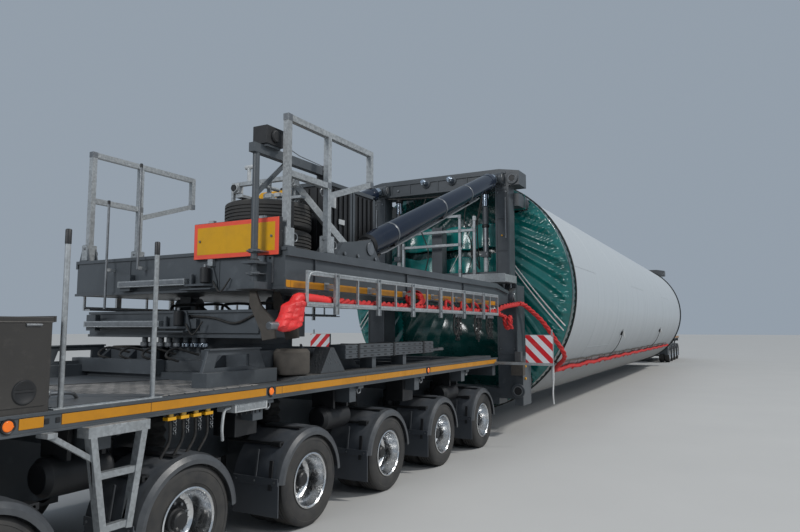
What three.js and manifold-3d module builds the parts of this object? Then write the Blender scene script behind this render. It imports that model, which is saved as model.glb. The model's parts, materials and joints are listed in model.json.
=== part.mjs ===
// Wind turbine tower section carried between two lifting tower adapters,
// each on a multi-axle bogie with a turntable. Millimetres, +Z up, +X is the
// travel direction. The origin lies on the ground under the middle of the
// whole assembly. Both adapters are the same machine: the front one is
// turned half round. Each unit is drawn in its own frame, whose origin is
// on the ground under its turntable, with +x towards the tower.

import * as THREE from 'three';
import { mergeVertices } from 'three/addons/utils/BufferGeometryUtils.js';
import Module from 'manifold-3d';

const wasm = await Module();
wasm.setup();

// Driving dimensions: the whole
const SEAT = 0.3;
const TOWER_LENGTH = 20700;
const TOWER_RADIUS = 2150;
const TOWER_WALL = 25;
const TOWER_AXIS_Z = 2400;
const TOWER_SIDES = 48;
const FLANGE_INNER_RADIUS = 1900;
const FLANGE_LENGTH = 110;
const COVER_SKIRT = 300;
const COVER_SHEET = 12;
const FLANGE_X = 5880;

// Driving dimensions: the bogies
const REAR_DECK_BACK = 4520;
const REAR_DECK_FRONT = 4530;
const FRONT_DECK_HALF = 2875;
const DECK_TOP = 1280;
const DECK_SHEET = 30;
const BOGIE_HALF_WIDTH = 1290;
const SIDE_MEMBER_WIDTH = 90;
const SIDE_MEMBER_BOTTOM = 1170;
const AXLE_PITCH = 1420;
const REAR_AXLES = 6;
const FRONT_AXLES = 4;
const REAR_FIRST_AXLE = -3170;
const FRONT_FIRST_AXLE = -2130;
const TYRE_RADIUS = 395;
const WHEEL_SIDES = 16;
const WHEEL_INNER_FACE = 770;
const WHEEL_OUTER_FACE = 1275;
const AXLE_RADIUS = 60;
const MARKER_X = 4410;
const MARKER_ARM_Z = 1205;
const MARKER_ARM_HALF = 20;
const GUARD_INNER_RADIUS = 462;
const GUARD_SHEET = 12;

// Driving dimensions: the turntable and bolster
const RING_RADIUS = 620;
const RING_TOP = 1585;
const BASE_TOP = 1350;
const BOLSTER_BOTTOM = 1660;
const BOLSTER_TOP = 1910;
const BOLSTER_HALF_WIDTH = 1320;
const PITCH_PIN_Z = 2000;
const PIN_RADIUS = 45;
const PIN_CLEARANCE = 5;

// Driving dimensions: the adapter platform
const PLATFORM_BACK = -860;
const PLATFORM_BOX_FRONT = 1600;
const PLATFORM_BOTTOM = 2080;
const PLATFORM_TOP = 2430;
const PLATFORM_HALF_WIDTH = 1360;
const BEAM_WIDTH = 230;
const LIFT_PIVOT = [4980, 2250];
const CYLINDER_EYE = [700, 2585];
const CYLINDER_TOP = [5030, 4270];
const CYLINDER_Y = 1110;
const CYLINDER_RADIUS = 130;
const ROD_RADIUS = 88;
const CYLINDER_SIDES = 12;

// Driving dimensions: the mast
const MAST_BACK = 5130;
const MAST_FRONT = 5530;
const MAST_INNER_Y = 1090;
const MAST_OUTER_Y = 1430;
const MAST_BOTTOM = 490;
const MAST_BEAM_BOTTOM = 4150;
const MAST_TOP = 4450;
const MAST_STEP_Z = 2450;
const SLIM_FRONT = 5400;
const SLIM_INNER_Y = 1080;
const SLIM_OUTER_Y = 1320;

// Colours
const ADAPTER_GREY = { color: 0x3a3f43, roughness: 0.55, metalness: 0.2 };
const GALVANISED = { color: 0x9aa1a4, roughness: 0.5, metalness: 0.7 };
const TOWER_WHITE = { color: 0xb9c3ca, roughness: 0.45, metalness: 0.0 };
const COVER_GREEN = { color: 0x0b7a68, roughness: 0.35, metalness: 0.0 };
const BLACK_RUBBER = { color: 0x1c1d1f, roughness: 0.85, metalness: 0.0 };
const GUARD_PLASTIC = { color: 0x2c333b, roughness: 0.6, metalness: 0.0 };
const CYLINDER_BLUE = { color: 0x0b1420, roughness: 0.2, metalness: 0.3 };
const CHROME = { color: 0xb8c4d0, roughness: 0.15, metalness: 1.0 };
const HOSE_RED = { color: 0xd8281f, roughness: 0.6, metalness: 0.0 };
const SIGN_YELLOW = { color: 0xe9b500, roughness: 0.4, metalness: 0.0 };
const MARKER_RED = { color: 0xc01522, roughness: 0.4, metalness: 0.0 };

// Solids and booleans

function toSolid(geometry) {
  const bare = geometry.clone();
  bare.deleteAttribute('normal');
  bare.deleteAttribute('uv');
  const welded = mergeVertices(bare, 1e-3);
  const corners = welded.index.array;
  const kept = [];
  for (let i = 0; i < corners.length; i += 3) {
    const [a, b, c] = [corners[i], corners[i + 1], corners[i + 2]];
    if (a !== b && b !== c && c !== a) kept.push(a, b, c);
  }
  const vertProperties = new Float32Array(welded.attributes.position.array);
  const triVerts = new Uint32Array(kept);
  return new wasm.Manifold(new wasm.Mesh({ numProp: 3, vertProperties, triVerts }));
}

function join(solids) {
  return solids.reduce((whole, next) => whole.add(next));
}

function cut(solid, tools) {
  return tools.reduce((left, tool) => left.subtract(tool), solid);
}

function toGeometry(solid) {
  const { vertProperties, triVerts } = solid.getMesh();
  const geometry = new THREE.BufferGeometry();
  geometry.setAttribute('position', new THREE.BufferAttribute(vertProperties, 3));
  geometry.setIndex(new THREE.BufferAttribute(triVerts, 1));
  geometry.computeVertexNormals();
  return geometry;
}

function addPiece(group, name, solid, finish) {
  const mesh = new THREE.Mesh(toGeometry(solid), new THREE.MeshStandardMaterial(finish));
  mesh.name = name;
  group.add(mesh);
  return mesh;
}

// Basic shapes

function box(x0, x1, y0, y1, z0, z1) {
  const geometry = new THREE.BoxGeometry(x1 - x0, y1 - y0, z1 - z0);
  geometry.translate((x0 + x1) / 2, (y0 + y1) / 2, (z0 + z1) / 2);
  return toSolid(geometry);
}

// A plate standing along X, from an outline of [x, z] points, between two y values
function sidePlate(points, y0, y1) {
  const shape = new THREE.Shape(points.map(([x, z]) => new THREE.Vector2(x, z)));
  const geometry = new THREE.ExtrudeGeometry(shape, { depth: y1 - y0, bevelEnabled: false });
  geometry.rotateX(Math.PI / 2);
  geometry.translate(0, y1, 0);
  return toSolid(geometry);
}

// A plate standing across the unit, from an outline of [y, z] points
function crossPlate(points, x0, x1) {
  const shape = new THREE.Shape(points.map(([y, z]) => new THREE.Vector2(y, z)));
  const geometry = new THREE.ExtrudeGeometry(shape, { depth: x1 - x0, bevelEnabled: false });
  geometry.rotateX(Math.PI / 2);
  geometry.rotateZ(Math.PI / 2);
  geometry.translate(x0, 0, 0);
  return toSolid(geometry);
}

function roundAlongY(radius, y0, y1, x, z, sides = 12) {
  const geometry = new THREE.CylinderGeometry(radius, radius, y1 - y0, sides);
  geometry.translate(x, (y0 + y1) / 2, z);
  return toSolid(geometry);
}

function roundAlongZ(radius, z0, z1, x, y, sides = 16) {
  const geometry = new THREE.CylinderGeometry(radius, radius, z1 - z0, sides);
  geometry.rotateX(Math.PI / 2);
  geometry.translate(x, y, (z0 + z1) / 2);
  return toSolid(geometry);
}

function roundAlongX(radius, x0, x1, y, z, sides = 16) {
  const geometry = new THREE.CylinderGeometry(radius, radius, x1 - x0, sides);
  geometry.rotateZ(-Math.PI / 2);
  geometry.translate((x0 + x1) / 2, y, z);
  return toSolid(geometry);
}

// A bar of rectangular section between two points
function bar(from, to, width, height) {
  const start = new THREE.Vector3(...from);
  const end = new THREE.Vector3(...to);
  const along = end.clone().sub(start);
  const geometry = new THREE.BoxGeometry(width, height, along.length());
  const turn = new THREE.Matrix4().lookAt(end, start, new THREE.Vector3(0, 0, 1));
  if (Math.hypot(along.x, along.y) < 1) turn.identity();
  geometry.applyMatrix4(turn);
  const middle = start.add(end).multiplyScalar(0.5);
  geometry.translate(middle.x, middle.y, middle.z);
  return toSolid(geometry);
}

// A tube of round section along a smooth curve through the points
function hose(points, radius, steps) {
  const path = new THREE.CatmullRomCurve3(points.map((p) => new THREE.Vector3(...p)));
  const section = new THREE.Shape();
  section.absarc(0, 0, radius, 0, 2 * Math.PI);
  const options = { steps, extrudePath: path, curveSegments: 4, bevelEnabled: false };
  return toSolid(new THREE.ExtrudeGeometry(section, options));
}

// A body of revolution from [radius, height] points, standing along +Z
function turned(profile, sides, startAngle = 0) {
  const points = profile.map(([radius, height]) => new THREE.Vector2(radius, height));
  const geometry = new THREE.LatheGeometry(points, sides, startAngle);
  geometry.rotateX(Math.PI / 2);
  return toSolid(geometry);
}

// The tower section

// The shell with the bolting flange that stands inward at each end
function makeTower() {
  const half = TOWER_LENGTH / 2;
  const inside = TOWER_RADIUS - TOWER_WALL;
  const profile = [
    [TOWER_RADIUS, -half], [TOWER_RADIUS, half], [FLANGE_INNER_RADIUS, half],
    [FLANGE_INNER_RADIUS, half - FLANGE_LENGTH], [inside, half - FLANGE_LENGTH],
    [inside, FLANGE_LENGTH - half], [FLANGE_INNER_RADIUS, FLANGE_LENGTH - half],
    [FLANGE_INNER_RADIUS, -half], [TOWER_RADIUS, -half],
  ];
  const solid = turned(profile, TOWER_SIDES, Math.PI / TOWER_SIDES);
  return solid.rotate([0, 90, 0]).translate([0, 0, TOWER_AXIS_Z]);
}

// The sheet over a tower end: a skirt round the shell and a face that is
// drawn in towards the mast, open where the four clamps reach the flange
function makeCover() {
  const sides = TOWER_SIDES / 2;
  const inside = (TOWER_RADIUS + SEAT) / Math.cos(Math.PI / sides);
  const outside = inside + COVER_SHEET;
  const face = FLANGE_X - SEAT;
  const draw = 220;
  const profile = [
    [0, face - draw - COVER_SHEET], [1250, face - draw - COVER_SHEET], [outside, face - COVER_SHEET],
    [outside, face + COVER_SKIRT], [inside, face + COVER_SKIRT], [inside, face - 2], [1250, face - draw],
    [0, face - draw],
  ];
  const sheet = turned(profile, sides, Math.PI / TOWER_SIDES)
    .rotate([0, 90, 0])
    .translate([0, 0, TOWER_AXIS_Z]);
  const gaps = [];
  for (const side of [-1, 1]) {
    for (const z of CLAMP_LEVELS) {
      const reach = CLAMP_HALF + 30;
      const y = side * CLAMP_Y;
      gaps.push(box(MAST_FRONT - 50, FLANGE_X + 100, y - reach, y + reach, z - reach, z + reach));
    }
  }
  return cut(sheet, gaps);
}

// The mast: a portal frame that stands against the tower end. Its uprights are
// wide below the step and slim above it.

const CLAMP_Y = 1260;
const CLAMP_HALF = 150;
const CLAMP_LEVELS = [855, 3945];
const CLAMP_HALF_HEIGHT = 110;

function makeMast() {
  const pieces = [];
  const beam = [
    [-1500, MAST_BEAM_BOTTOM], [1500, MAST_BEAM_BOTTOM], [1500, MAST_TOP - 60], [1150, MAST_TOP],
    [-1150, MAST_TOP], [-1500, MAST_TOP - 60],
  ];
  pieces.push(crossPlate(beam, MAST_BACK, MAST_FRONT));
  pieces.push(box(MAST_BACK, MAST_FRONT, -MAST_INNER_Y - 10, MAST_INNER_Y + 10, MAST_BOTTOM, 760));
  pieces.push(box(MAST_BACK + 60, MAST_FRONT - 100, -MAST_INNER_Y - 10, MAST_INNER_Y + 10, 2560, 2700));
  pieces.push(box(MAST_BACK + 60, MAST_BACK + 260, -50, 150, 2600, 3530));
  for (const side of [-1, 1]) {
    const [near, far] = side < 0 ? [-MAST_OUTER_Y, -MAST_INNER_Y] : [MAST_INNER_Y, MAST_OUTER_Y];
    pieces.push(box(MAST_BACK, MAST_FRONT, near, far, MAST_BOTTOM + 100, MAST_STEP_Z));
    const slim = [side * SLIM_INNER_Y, side * SLIM_OUTER_Y].sort((a, b) => a - b);
    pieces.push(box(MAST_BACK, SLIM_FRONT, ...slim, MAST_STEP_Z - 10, MAST_BEAM_BOTTOM + 50));
    const foot = [
      [MAST_BACK - 30, MAST_BOTTOM], [MAST_FRONT, MAST_BOTTOM], [MAST_FRONT, 1280],
      [MAST_BACK, 1280], [MAST_BACK - 30, 1100],
    ];
    const footOut = side * (MAST_OUTER_Y + 90);
    pieces.push(sidePlate(foot, Math.min(footOut, side * 1380), Math.max(footOut, side * 1380)));
    for (const z of CLAMP_LEVELS) {
      const y = side * CLAMP_Y;
      const reach = FLANGE_X - SEAT;
      const root = (z < MAST_STEP_Z ? MAST_FRONT : SLIM_FRONT) - 20;
      const [low, high] = [z - CLAMP_HALF_HEIGHT, z + CLAMP_HALF_HEIGHT];
      pieces.push(box(root, reach, y - CLAMP_HALF, y + CLAMP_HALF, low, high));
    }
    pieces.push(...makeLiftEars(side), ...makeTopEars(side));
  }
  return join(pieces);
}

// Ears on the mast's back face that hold the platform's beam ends
function makeLiftEars(side) {
  const [px, pz] = LIFT_PIVOT;
  const outline = roundEnd(px, pz, 100, MAST_BACK + 20, 170);
  const beamOut = PLATFORM_HALF_WIDTH;
  const beamIn = PLATFORM_HALF_WIDTH - BEAM_WIDTH;
  const spans = [[beamOut + SEAT, MAST_OUTER_Y], [beamIn - SEAT - 60, beamIn - SEAT]];
  const ears = spans.map(([a, b]) => mirroredPlate(outline, side, a, b));
  const pinEnds = [side * (beamIn - 30), side * (MAST_OUTER_Y - 10)].sort((a, b) => a - b);
  ears.push(roundAlongY(PIN_RADIUS, ...pinEnds, px, pz));
  return ears;
}

// Ears under the top beam that hold the lift cylinders' rod ends
function makeTopEars(side) {
  const [tx, tz] = CYLINDER_TOP;
  const outline = roundEnd(tx, tz, 95, MAST_BACK + 20, 110);
  const spans = [[CYLINDER_Y - 130, CYLINDER_Y - 80 - SEAT], [CYLINDER_Y + 80 + SEAT, CYLINDER_Y + 130]];
  const ears = spans.map(([a, b]) => mirroredPlate(outline, side, a, b));
  const pinEnds = [side * (CYLINDER_Y - 100), side * (CYLINDER_Y + 100)].sort((a, b) => a - b);
  ears.push(roundAlongY(PIN_RADIUS, ...pinEnds, tx, tz));
  return ears;
}

// An ear outline: a half round about (x, z) that runs on to the plane x = root
function roundEnd(x, z, radius, root, rootHalf) {
  const points = [[root, z - rootHalf], [root, z + rootHalf]];
  const steps = 6;
  for (let i = 0; i <= steps; i += 1) {
    const angle = Math.PI / 2 + (Math.PI * i) / steps;
    points.push([x + radius * Math.cos(angle), z + radius * Math.sin(angle)]);
  }
  return points;
}

function mirroredPlate(outline, side, near, far) {
  const ends = [side * near, side * far].sort((a, b) => a - b);
  return sidePlate(outline, ...ends);
}

// Silver screw columns beside the mast's uprights
function makeMastColumn(side) {
  const y = side * 850;
  const x = MAST_BACK + 130;
  const top = MAST_BEAM_BOTTOM - SEAT;
  return join([
    roundAlongZ(48, 2700 + SEAT, 3300, x, y, 12),
    roundAlongZ(58, 3290, top, x, y, 12),
    box(x - 75, x + 75, y - 75, y + 75, 3240, 3330),
  ]);
}

// Two small standing places on the mast, with a tube frame between them
function makeStandingPlaces() {
  const back = MAST_BACK - 570;
  const postX = MAST_BACK - 80;
  const tube = 42;
  const pieces = [
    box(back, MAST_BACK - SEAT, -1430, -700, 2480, 2600),
    box(back, MAST_BACK + 60 - SEAT, 120, 770, 2580, 2700),
    box(postX - tube / 2, MAST_BACK + 60 - SEAT, -476, -434, 2600, 2640),
    bar([postX, -722, 2590], [postX, -722, 3580], tube, tube),
    bar([postX, -455, 2620], [postX, -455, 3680], tube, tube),
    bar([postX, 650, 2690], [postX, 650, 3260], tube, tube),
    bar([postX, -743, 3420], [postX, 450, 3420], tube, tube),
    bar([postX, -476, 3180], [postX, 671, 3180], tube, tube),
    bar([postX, -476, 3680], [postX, -200, 3680], tube, tube),
  ];
  return join(pieces);
}

// The adapter platform: a deep box over the turntable, and two long side
// beams that reach forward to the mast's ears

function makePlatform() {
  const [px, pz] = LIFT_PIVOT;
  const top = PLATFORM_TOP;
  const bottom = PLATFORM_BOTTOM;
  const pieces = [
    box(PLATFORM_BACK, PLATFORM_BOX_FRONT, -PLATFORM_HALF_WIDTH, PLATFORM_HALF_WIDTH, bottom, top),
    box(2900, 3080, -PLATFORM_HALF_WIDTH + 20, PLATFORM_HALF_WIDTH - 20, bottom + 60, top - 90),
  ];
  for (const side of [-1, 1]) {
    const outline = [[PLATFORM_BOX_FRONT - 50, top], [PLATFORM_BOX_FRONT - 50, bottom]];
    outline.push([4300, bottom], [px - 40, pz - 92]);
    for (let i = 1; i < 8; i += 1) {
      const angle = -Math.PI / 2 + (Math.PI * i) / 8;
      outline.push([px + 92 * Math.cos(angle), pz + 92 * Math.sin(angle)]);
    }
    outline.push([px - 40, pz + 92], [4300, top]);
    pieces.push(mirroredPlate(outline, side, PLATFORM_HALF_WIDTH - BEAM_WIDTH, PLATFORM_HALF_WIDTH));
    pieces.push(...makeEyeBrackets(side));
    const lug = [[-65, PLATFORM_BOTTOM + 20], [-65, PITCH_PIN_Z - 25], [-30, PITCH_PIN_Z - 62],
      [30, PITCH_PIN_Z - 62], [65, PITCH_PIN_Z - 25], [65, PLATFORM_BOTTOM + 20]];
    pieces.push(mirroredPlate(lug, side, 560 + SEAT, 720));
  }
  const bores = [roundAlongY(PIN_RADIUS + PIN_CLEARANCE, -800, 800, 0, PITCH_PIN_Z)];
  bores.push(roundAlongY(PIN_RADIUS + PIN_CLEARANCE, -1500, 1500, px, pz));
  return cut(join(pieces), bores);
}

// Plates on the platform that hold the foot of a lift cylinder
function makeEyeBrackets(side) {
  const [ex, ez] = CYLINDER_EYE;
  const outline = [[ex - 660, PLATFORM_TOP - 10], [ex + 260, PLATFORM_TOP - 10], [ex + 95, ez + 20],
    [ex + 50, ez + 85], [ex - 50, ez + 88], [ex - 140, ez + 70], [ex - 510, ez + 15]];
  const spans = [[CYLINDER_Y - 140, CYLINDER_Y - 80 - SEAT], [CYLINDER_Y + 80 + SEAT, CYLINDER_Y + 140]];
  const plates = spans.map(([a, b]) => mirroredPlate(outline, side, a, b));
  const pinEnds = [side * (CYLINDER_Y - 110), side * (CYLINDER_Y + 110)].sort((a, b) => a - b);
  plates.push(roundAlongY(PIN_RADIUS, ...pinEnds, ex, ez));
  return plates;
}

// A lift cylinder in its own frame: the foot eye on the Y axis, the barrel along +X

const CYLINDER_LENGTH = Math.hypot(CYLINDER_TOP[0] - CYLINDER_EYE[0], CYLINDER_TOP[1] - CYLINDER_EYE[1]);
const CYLINDER_TILT = Math.atan2(CYLINDER_TOP[1] - CYLINDER_EYE[1], CYLINDER_TOP[0] - CYLINDER_EYE[0]);
const BARREL_END = CYLINDER_LENGTH - 330;

function makeBarrel() {
  const bore = ROD_RADIUS + 0.5;
  const profile = [[0, 165], [CYLINDER_RADIUS - 30, 165], [CYLINDER_RADIUS, 205],
    [CYLINDER_RADIUS, BARREL_END], [bore, BARREL_END], [bore, 2900], [0, 2900]];
  const tube = turned(profile, CYLINDER_SIDES, Math.PI / CYLINDER_SIDES).rotate([0, 90, 0]);
  const eye = cut(join([
    roundAlongY(88, -80, 80, 0, 0),
    box(0, 200, -80, 80, -70, 70),
  ]), [roundAlongY(PIN_RADIUS + PIN_CLEARANCE, -100, 100, 0, 0)]);
  return join([tube, eye]);
}

function makeRod() {
  const end = CYLINDER_LENGTH - 125;
  const profile = [[0, 2960], [ROD_RADIUS, 2960], [ROD_RADIUS, end], [0, end]];
  const rod = turned(profile, CYLINDER_SIDES, Math.PI / CYLINDER_SIDES).rotate([0, 90, 0]);
  const eye = roundAlongY(86, -80, 80, CYLINDER_LENGTH, 0);
  const neck = box(CYLINDER_LENGTH - 135, CYLINDER_LENGTH, -80, 80, -60, 60);
  return cut(join([rod, neck, eye]), [roundAlongY(PIN_RADIUS + 8, -100, 100, CYLINDER_LENGTH, 0)]);
}

function addCylinder(group, unit, side) {
  const hand = (side < 0) === (unit === 'rear') ? 'right' : 'left';
  const pieces = [[`${unit}_lift_barrel_${hand}`, makeBarrel(), CYLINDER_BLUE]];
  pieces.push([`${unit}_lift_rod_${hand}`, makeRod(), CHROME]);
  for (const [name, solid, finish] of pieces) {
    const mesh = addPiece(group, name, solid, finish);
    mesh.position.set(CYLINDER_EYE[0], side * CYLINDER_Y, CYLINDER_EYE[1]);
    mesh.rotation.y = -CYLINDER_TILT;
  }
}

// What stands on the platform

function makeHandrail(side) {
  const y = side * 1300;
  const tube = 55;
  const foot = PLATFORM_TOP + SEAT;
  const pieces = [
    bar([-780, y, foot], [-780, y, 3610], tube, tube),
    bar([-170, y, foot], [-170, y, 3590], tube, tube),
    bar([610, y, 3230], [610, y, 3590], tube, tube),
    bar([-807, y, 3585], [637, y, 3585], tube, tube),
    bar([-780, y, 3090], [-170, y, 3090], tube, tube),
    bar([-170, y, 2990], [620, y, 3258], tube, tube),
  ];
  for (const x of [-780, -170]) {
    pieces.push(box(x - 55, x + 55, y - 45, y + 45, foot, foot + 175));
  }
  return join(pieces);
}

function makeSpareTyres() {
  const low = PLATFORM_TOP + SEAT;
  const high = low + 550;
  const middle = (low + high) / 2;
  const profile = [[230, low], [400, low], [430, low + 50], [430, middle - 30], [405, middle],
    [430, middle + 30], [430, high - 50], [400, high], [230, high], [230, low]];
  return turned(profile, 20).translate([-120, -550, 0]);
}

function makeTyreClamp() {
  const foot = PLATFORM_TOP + SEAT;
  const seat = PLATFORM_TOP + 550 + 2 * SEAT;
  return join([
    roundAlongZ(28, foot, 3190, -120, -550, 12),
    box(-560, 350, -590, -510, seat, seat + 70),
    box(-160, -80, -980, -120, seat, seat + 70),
    box(320, 350, -590, -510, foot, seat + 40),
    bar([-250, -550, 3165], [10, -550, 3165], 40, 40),
  ]);
}

function makePowerPack() {
  const foot = PLATFORM_TOP + SEAT;
  return join([
    box(430, 1000, -420, 60, foot, 3080),
    box(400, 1030, -450, 90, 3000, 3230),
    box(520, 700, 50, 380, foot, 2900),
  ]);
}

// One of the two cabinets that stand in line on the right
function makeCabinet(back, front) {
  const foot = PLATFORM_TOP + SEAT;
  return join([
    box(back, front, -930, -500, foot, 3280),
    box(back + 30, front - 30, -900, -530, 3270, 3300),
  ]);
}

// A galvanised rack with a tray, outside the side beam, that carries hoses

const RACK_TRAY_TOP = 1945;
const RACK_TRAY_INNER_Y = 1375;

function makeSideRack(side) {
  const wall = PLATFORM_HALF_WIDTH + SEAT;
  const [back, front] = [-690, 4080];
  const y0 = 1455;
  const y1 = 1475;
  const span = (a, b) => [side * a, side * b].sort((p, q) => p - q);
  const pieces = [
    box(back, front, ...span(y0, y1), 2200, 2240),
    box(back, front, ...span(y0, y1), 1930, 1970),
    box(back, front, ...span(RACK_TRAY_INNER_Y, y1), 1930, RACK_TRAY_TOP),
  ];
  const wide = [0.09, 0.25, 0.41, 0.565, 0.72, 0.87];
  for (const share of wide) {
    const x = back + share * (front - back);
    pieces.push(box(x - 26, x + 26, ...span(y1 - 10, y1 + 10), 1870, 2240));
    pieces.push(box(x - 22, x + 22, ...span(wall, y1), 2100, 2140));
  }
  for (const share of [0, 0.17, 0.33, 0.49, 0.645, 0.795, 0.93, 1]) {
    const x = back + share * (front - back);
    pieces.push(box(x - 11, x + 11, ...span(y0, y1), 1930, 2240));
  }
  return join(pieces);
}

function makeSignBoard() {
  const face = PLATFORM_BACK - SEAT;
  return box(face - 40, face, -1325, -340, 2360, 2690);
}

function makeLightBar() {
  const face = PLATFORM_BACK - SEAT;
  const hinge = [[-610, 2095], [-270, 2095], [-270, 2190], [-430, 2290], [-560, 2290], [-610, 2150]];
  return join([
    box(face - 90, face - 20, -290, 620, 2135, 2195),
    crossPlate(hinge, face - 110, face),
    box(face - 60, face, 480, 620, 2100, 2260),
  ]);
}

// The davit: a post that turns in a socket on the platform's back face

const DAVIT_X = -1010;
const DAVIT_Y = -1150;
const DAVIT_JIB_Z = 3270;
const DAVIT_POST_RADIUS = 30;

function makeDavitSocket() {
  const face = PLATFORM_BACK + 20;
  const socket = join([
    box(DAVIT_X - 75, face, DAVIT_Y - 75, DAVIT_Y + 75, 2070, 2130),
    box(DAVIT_X - 75, face, DAVIT_Y - 75, DAVIT_Y + 75, 2280, 2300),
    box(DAVIT_X + 80, face, DAVIT_Y - 75, DAVIT_Y + 75, 2070, 2300),
  ]);
  return cut(socket, [roundAlongZ(DAVIT_POST_RADIUS + 7, 2100, 2400, DAVIT_X, DAVIT_Y)]);
}

function makeDavit() {
  return join([
    roundAlongZ(DAVIT_POST_RADIUS, 2100 + SEAT, DAVIT_JIB_Z + 20, DAVIT_X, DAVIT_Y, 12),
    box(DAVIT_X - 60, DAVIT_X + 1020, DAVIT_Y - 32, DAVIT_Y + 32, DAVIT_JIB_Z - 40, DAVIT_JIB_Z + 40),
    box(DAVIT_X + 60, DAVIT_X + 240, DAVIT_Y - 65, DAVIT_Y + 65, DAVIT_JIB_Z + 30, DAVIT_JIB_Z + 190),
    bar([DAVIT_X + 10, DAVIT_Y, 2880], [DAVIT_X + 420, DAVIT_Y, DAVIT_JIB_Z - 20], 32, 32),
  ]);
}

// The bolster between turntable and platform, in three steps of width

function makeBolster() {
  const pieces = [
    box(-720, -300, -1000, BOLSTER_HALF_WIDTH, BOLSTER_BOTTOM, BOLSTER_TOP),
    box(-320, 150, -820, 820, BOLSTER_BOTTOM, BOLSTER_TOP),
    box(130, 620, -450, 450, BOLSTER_BOTTOM, BOLSTER_TOP),
    roundAlongZ(RING_RADIUS, RING_TOP + SEAT, BOLSTER_BOTTOM + 10, 0, 0, 24),
  ];
  for (const side of [-1, 1]) {
    const lug = [[-60, BOLSTER_TOP - 20], [60, BOLSTER_TOP - 20], [60, PITCH_PIN_Z + 20],
      [25, PITCH_PIN_Z + 60], [-25, PITCH_PIN_Z + 60], [-60, PITCH_PIN_Z + 20]];
    pieces.push(mirroredPlate(lug, side, 480, 560));
    pieces.push(mirroredPlate(lug, side, 720 + SEAT, 800));
    const pinEnds = [side * 500, side * 780].sort((a, b) => a - b);
    pieces.push(roundAlongY(PIN_RADIUS, ...pinEnds, 0, PITCH_PIN_Z));
  }
  pieces.push(box(-790, -700, -280, 1240, 1740, 1830));
  return join(pieces);
}

// The turntable's base on the bogie deck
function makeTurntableBase() {
  const floor = DECK_TOP + SEAT;
  const pieces = [
    box(-1000, 900, -1000, 1000, floor, BASE_TOP),
    roundAlongZ(RING_RADIUS, BASE_TOP - 10, RING_TOP, 0, 0, 24),
  ];
  for (const side of [-1, 1]) {
    const gusset = [[-980, BASE_TOP - 10], [880, BASE_TOP - 10], [640, RING_TOP - 40], [-740, RING_TOP - 40]];
    pieces.push(mirroredPlate(gusset, side, 560, 610));
    pieces.push(mirroredPlate(gusset, side, 940, 990));
    const shelf = [side * 300, side * 990].sort((a, b) => a - b);
    pieces.push(box(-740, -690, ...shelf, BASE_TOP - 10, RING_TOP - 40));
    pieces.push(box(590, 640, ...shelf, BASE_TOP - 10, RING_TOP - 40));
  }
  return join(pieces);
}

// The bogies

function axlePlaces(first, count) {
  return Array.from({ length: count }, (_, i) => first + i * AXLE_PITCH);
}

function makeChassis(back, front, axles) {
  const spineHalf = 400;
  const pieces = [box(back + 60, front - 60, -spineHalf, spineHalf, 560, DECK_TOP - DECK_SHEET - SEAT)];
  const crossings = [back + 60, ...axles.slice(1).map((x) => x - AXLE_PITCH / 2), front - 60];
  for (const x of crossings) {
    pieces.push(box(x - 60, x + 60, -BOGIE_HALF_WIDTH + 40, BOGIE_HALF_WIDTH - 40, 1010, 1200));
  }
  for (const side of [-1, 1]) {
    const outer = side * BOGIE_HALF_WIDTH;
    const inner = side * (BOGIE_HALF_WIDTH - SIDE_MEMBER_WIDTH);
    const member = [outer, inner].sort((a, b) => a - b);
    pieces.push(box(back, front, ...member, SIDE_MEMBER_BOTTOM, DECK_TOP));
    const hanger = [side * (spineHalf - 20), side * (WHEEL_INNER_FACE - SEAT)].sort((a, b) => a - b);
    for (const x of axles) {
      pieces.push(box(x - 130, x + 130, ...hanger, 300, 820));
    }
  }
  for (const x of [back, front]) {
    pieces.push(box(Math.min(x, x - Math.sign(x) * 90), Math.max(x, x - Math.sign(x) * 90),
      -BOGIE_HALF_WIDTH + 20, BOGIE_HALF_WIDTH - 20, SIDE_MEMBER_BOTTOM, DECK_TOP));
  }
  const bores = axles.map((x) => roundAlongY(AXLE_RADIUS + 15, -900, 900, x, TYRE_RADIUS, 8));
  return cut(join(pieces), bores);
}

function makeDeck(back, front) {
  const half = BOGIE_HALF_WIDTH - SIDE_MEMBER_WIDTH - SEAT;
  const edge = 90 + SEAT;
  return box(back + edge, front - edge, -half, half, DECK_TOP - DECK_SHEET, DECK_TOP);
}

// One axle with its twin tyres on both sides, in its own frame
function makeWheelset() {
  const tread = TYRE_RADIUS / Math.cos(Math.PI / WHEEL_SIDES);
  const half = [
    [0, 1235], [100, 1235], [110, 1125], [225, 1125], [245, WHEEL_OUTER_FACE],
    [tread, WHEEL_OUTER_FACE], [tread, WHEEL_INNER_FACE], [AXLE_RADIUS, WHEEL_INNER_FACE],
  ];
  const other = half.map(([radius, y]) => [radius, -y]);
  const solid = turned([...other, ...half.toReversed()], WHEEL_SIDES, Math.PI / WHEEL_SIDES);
  return solid.rotate([90, 0, 0]);
}

function addWheelsets(group, unit, axles) {
  axles.forEach((x, i) => {
    const mesh = addPiece(group, `${unit}_wheelset_${i + 1}`, makeWheelset(), BLACK_RUBBER);
    mesh.position.set(x, 0, TYRE_RADIUS);
  });
}

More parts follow.
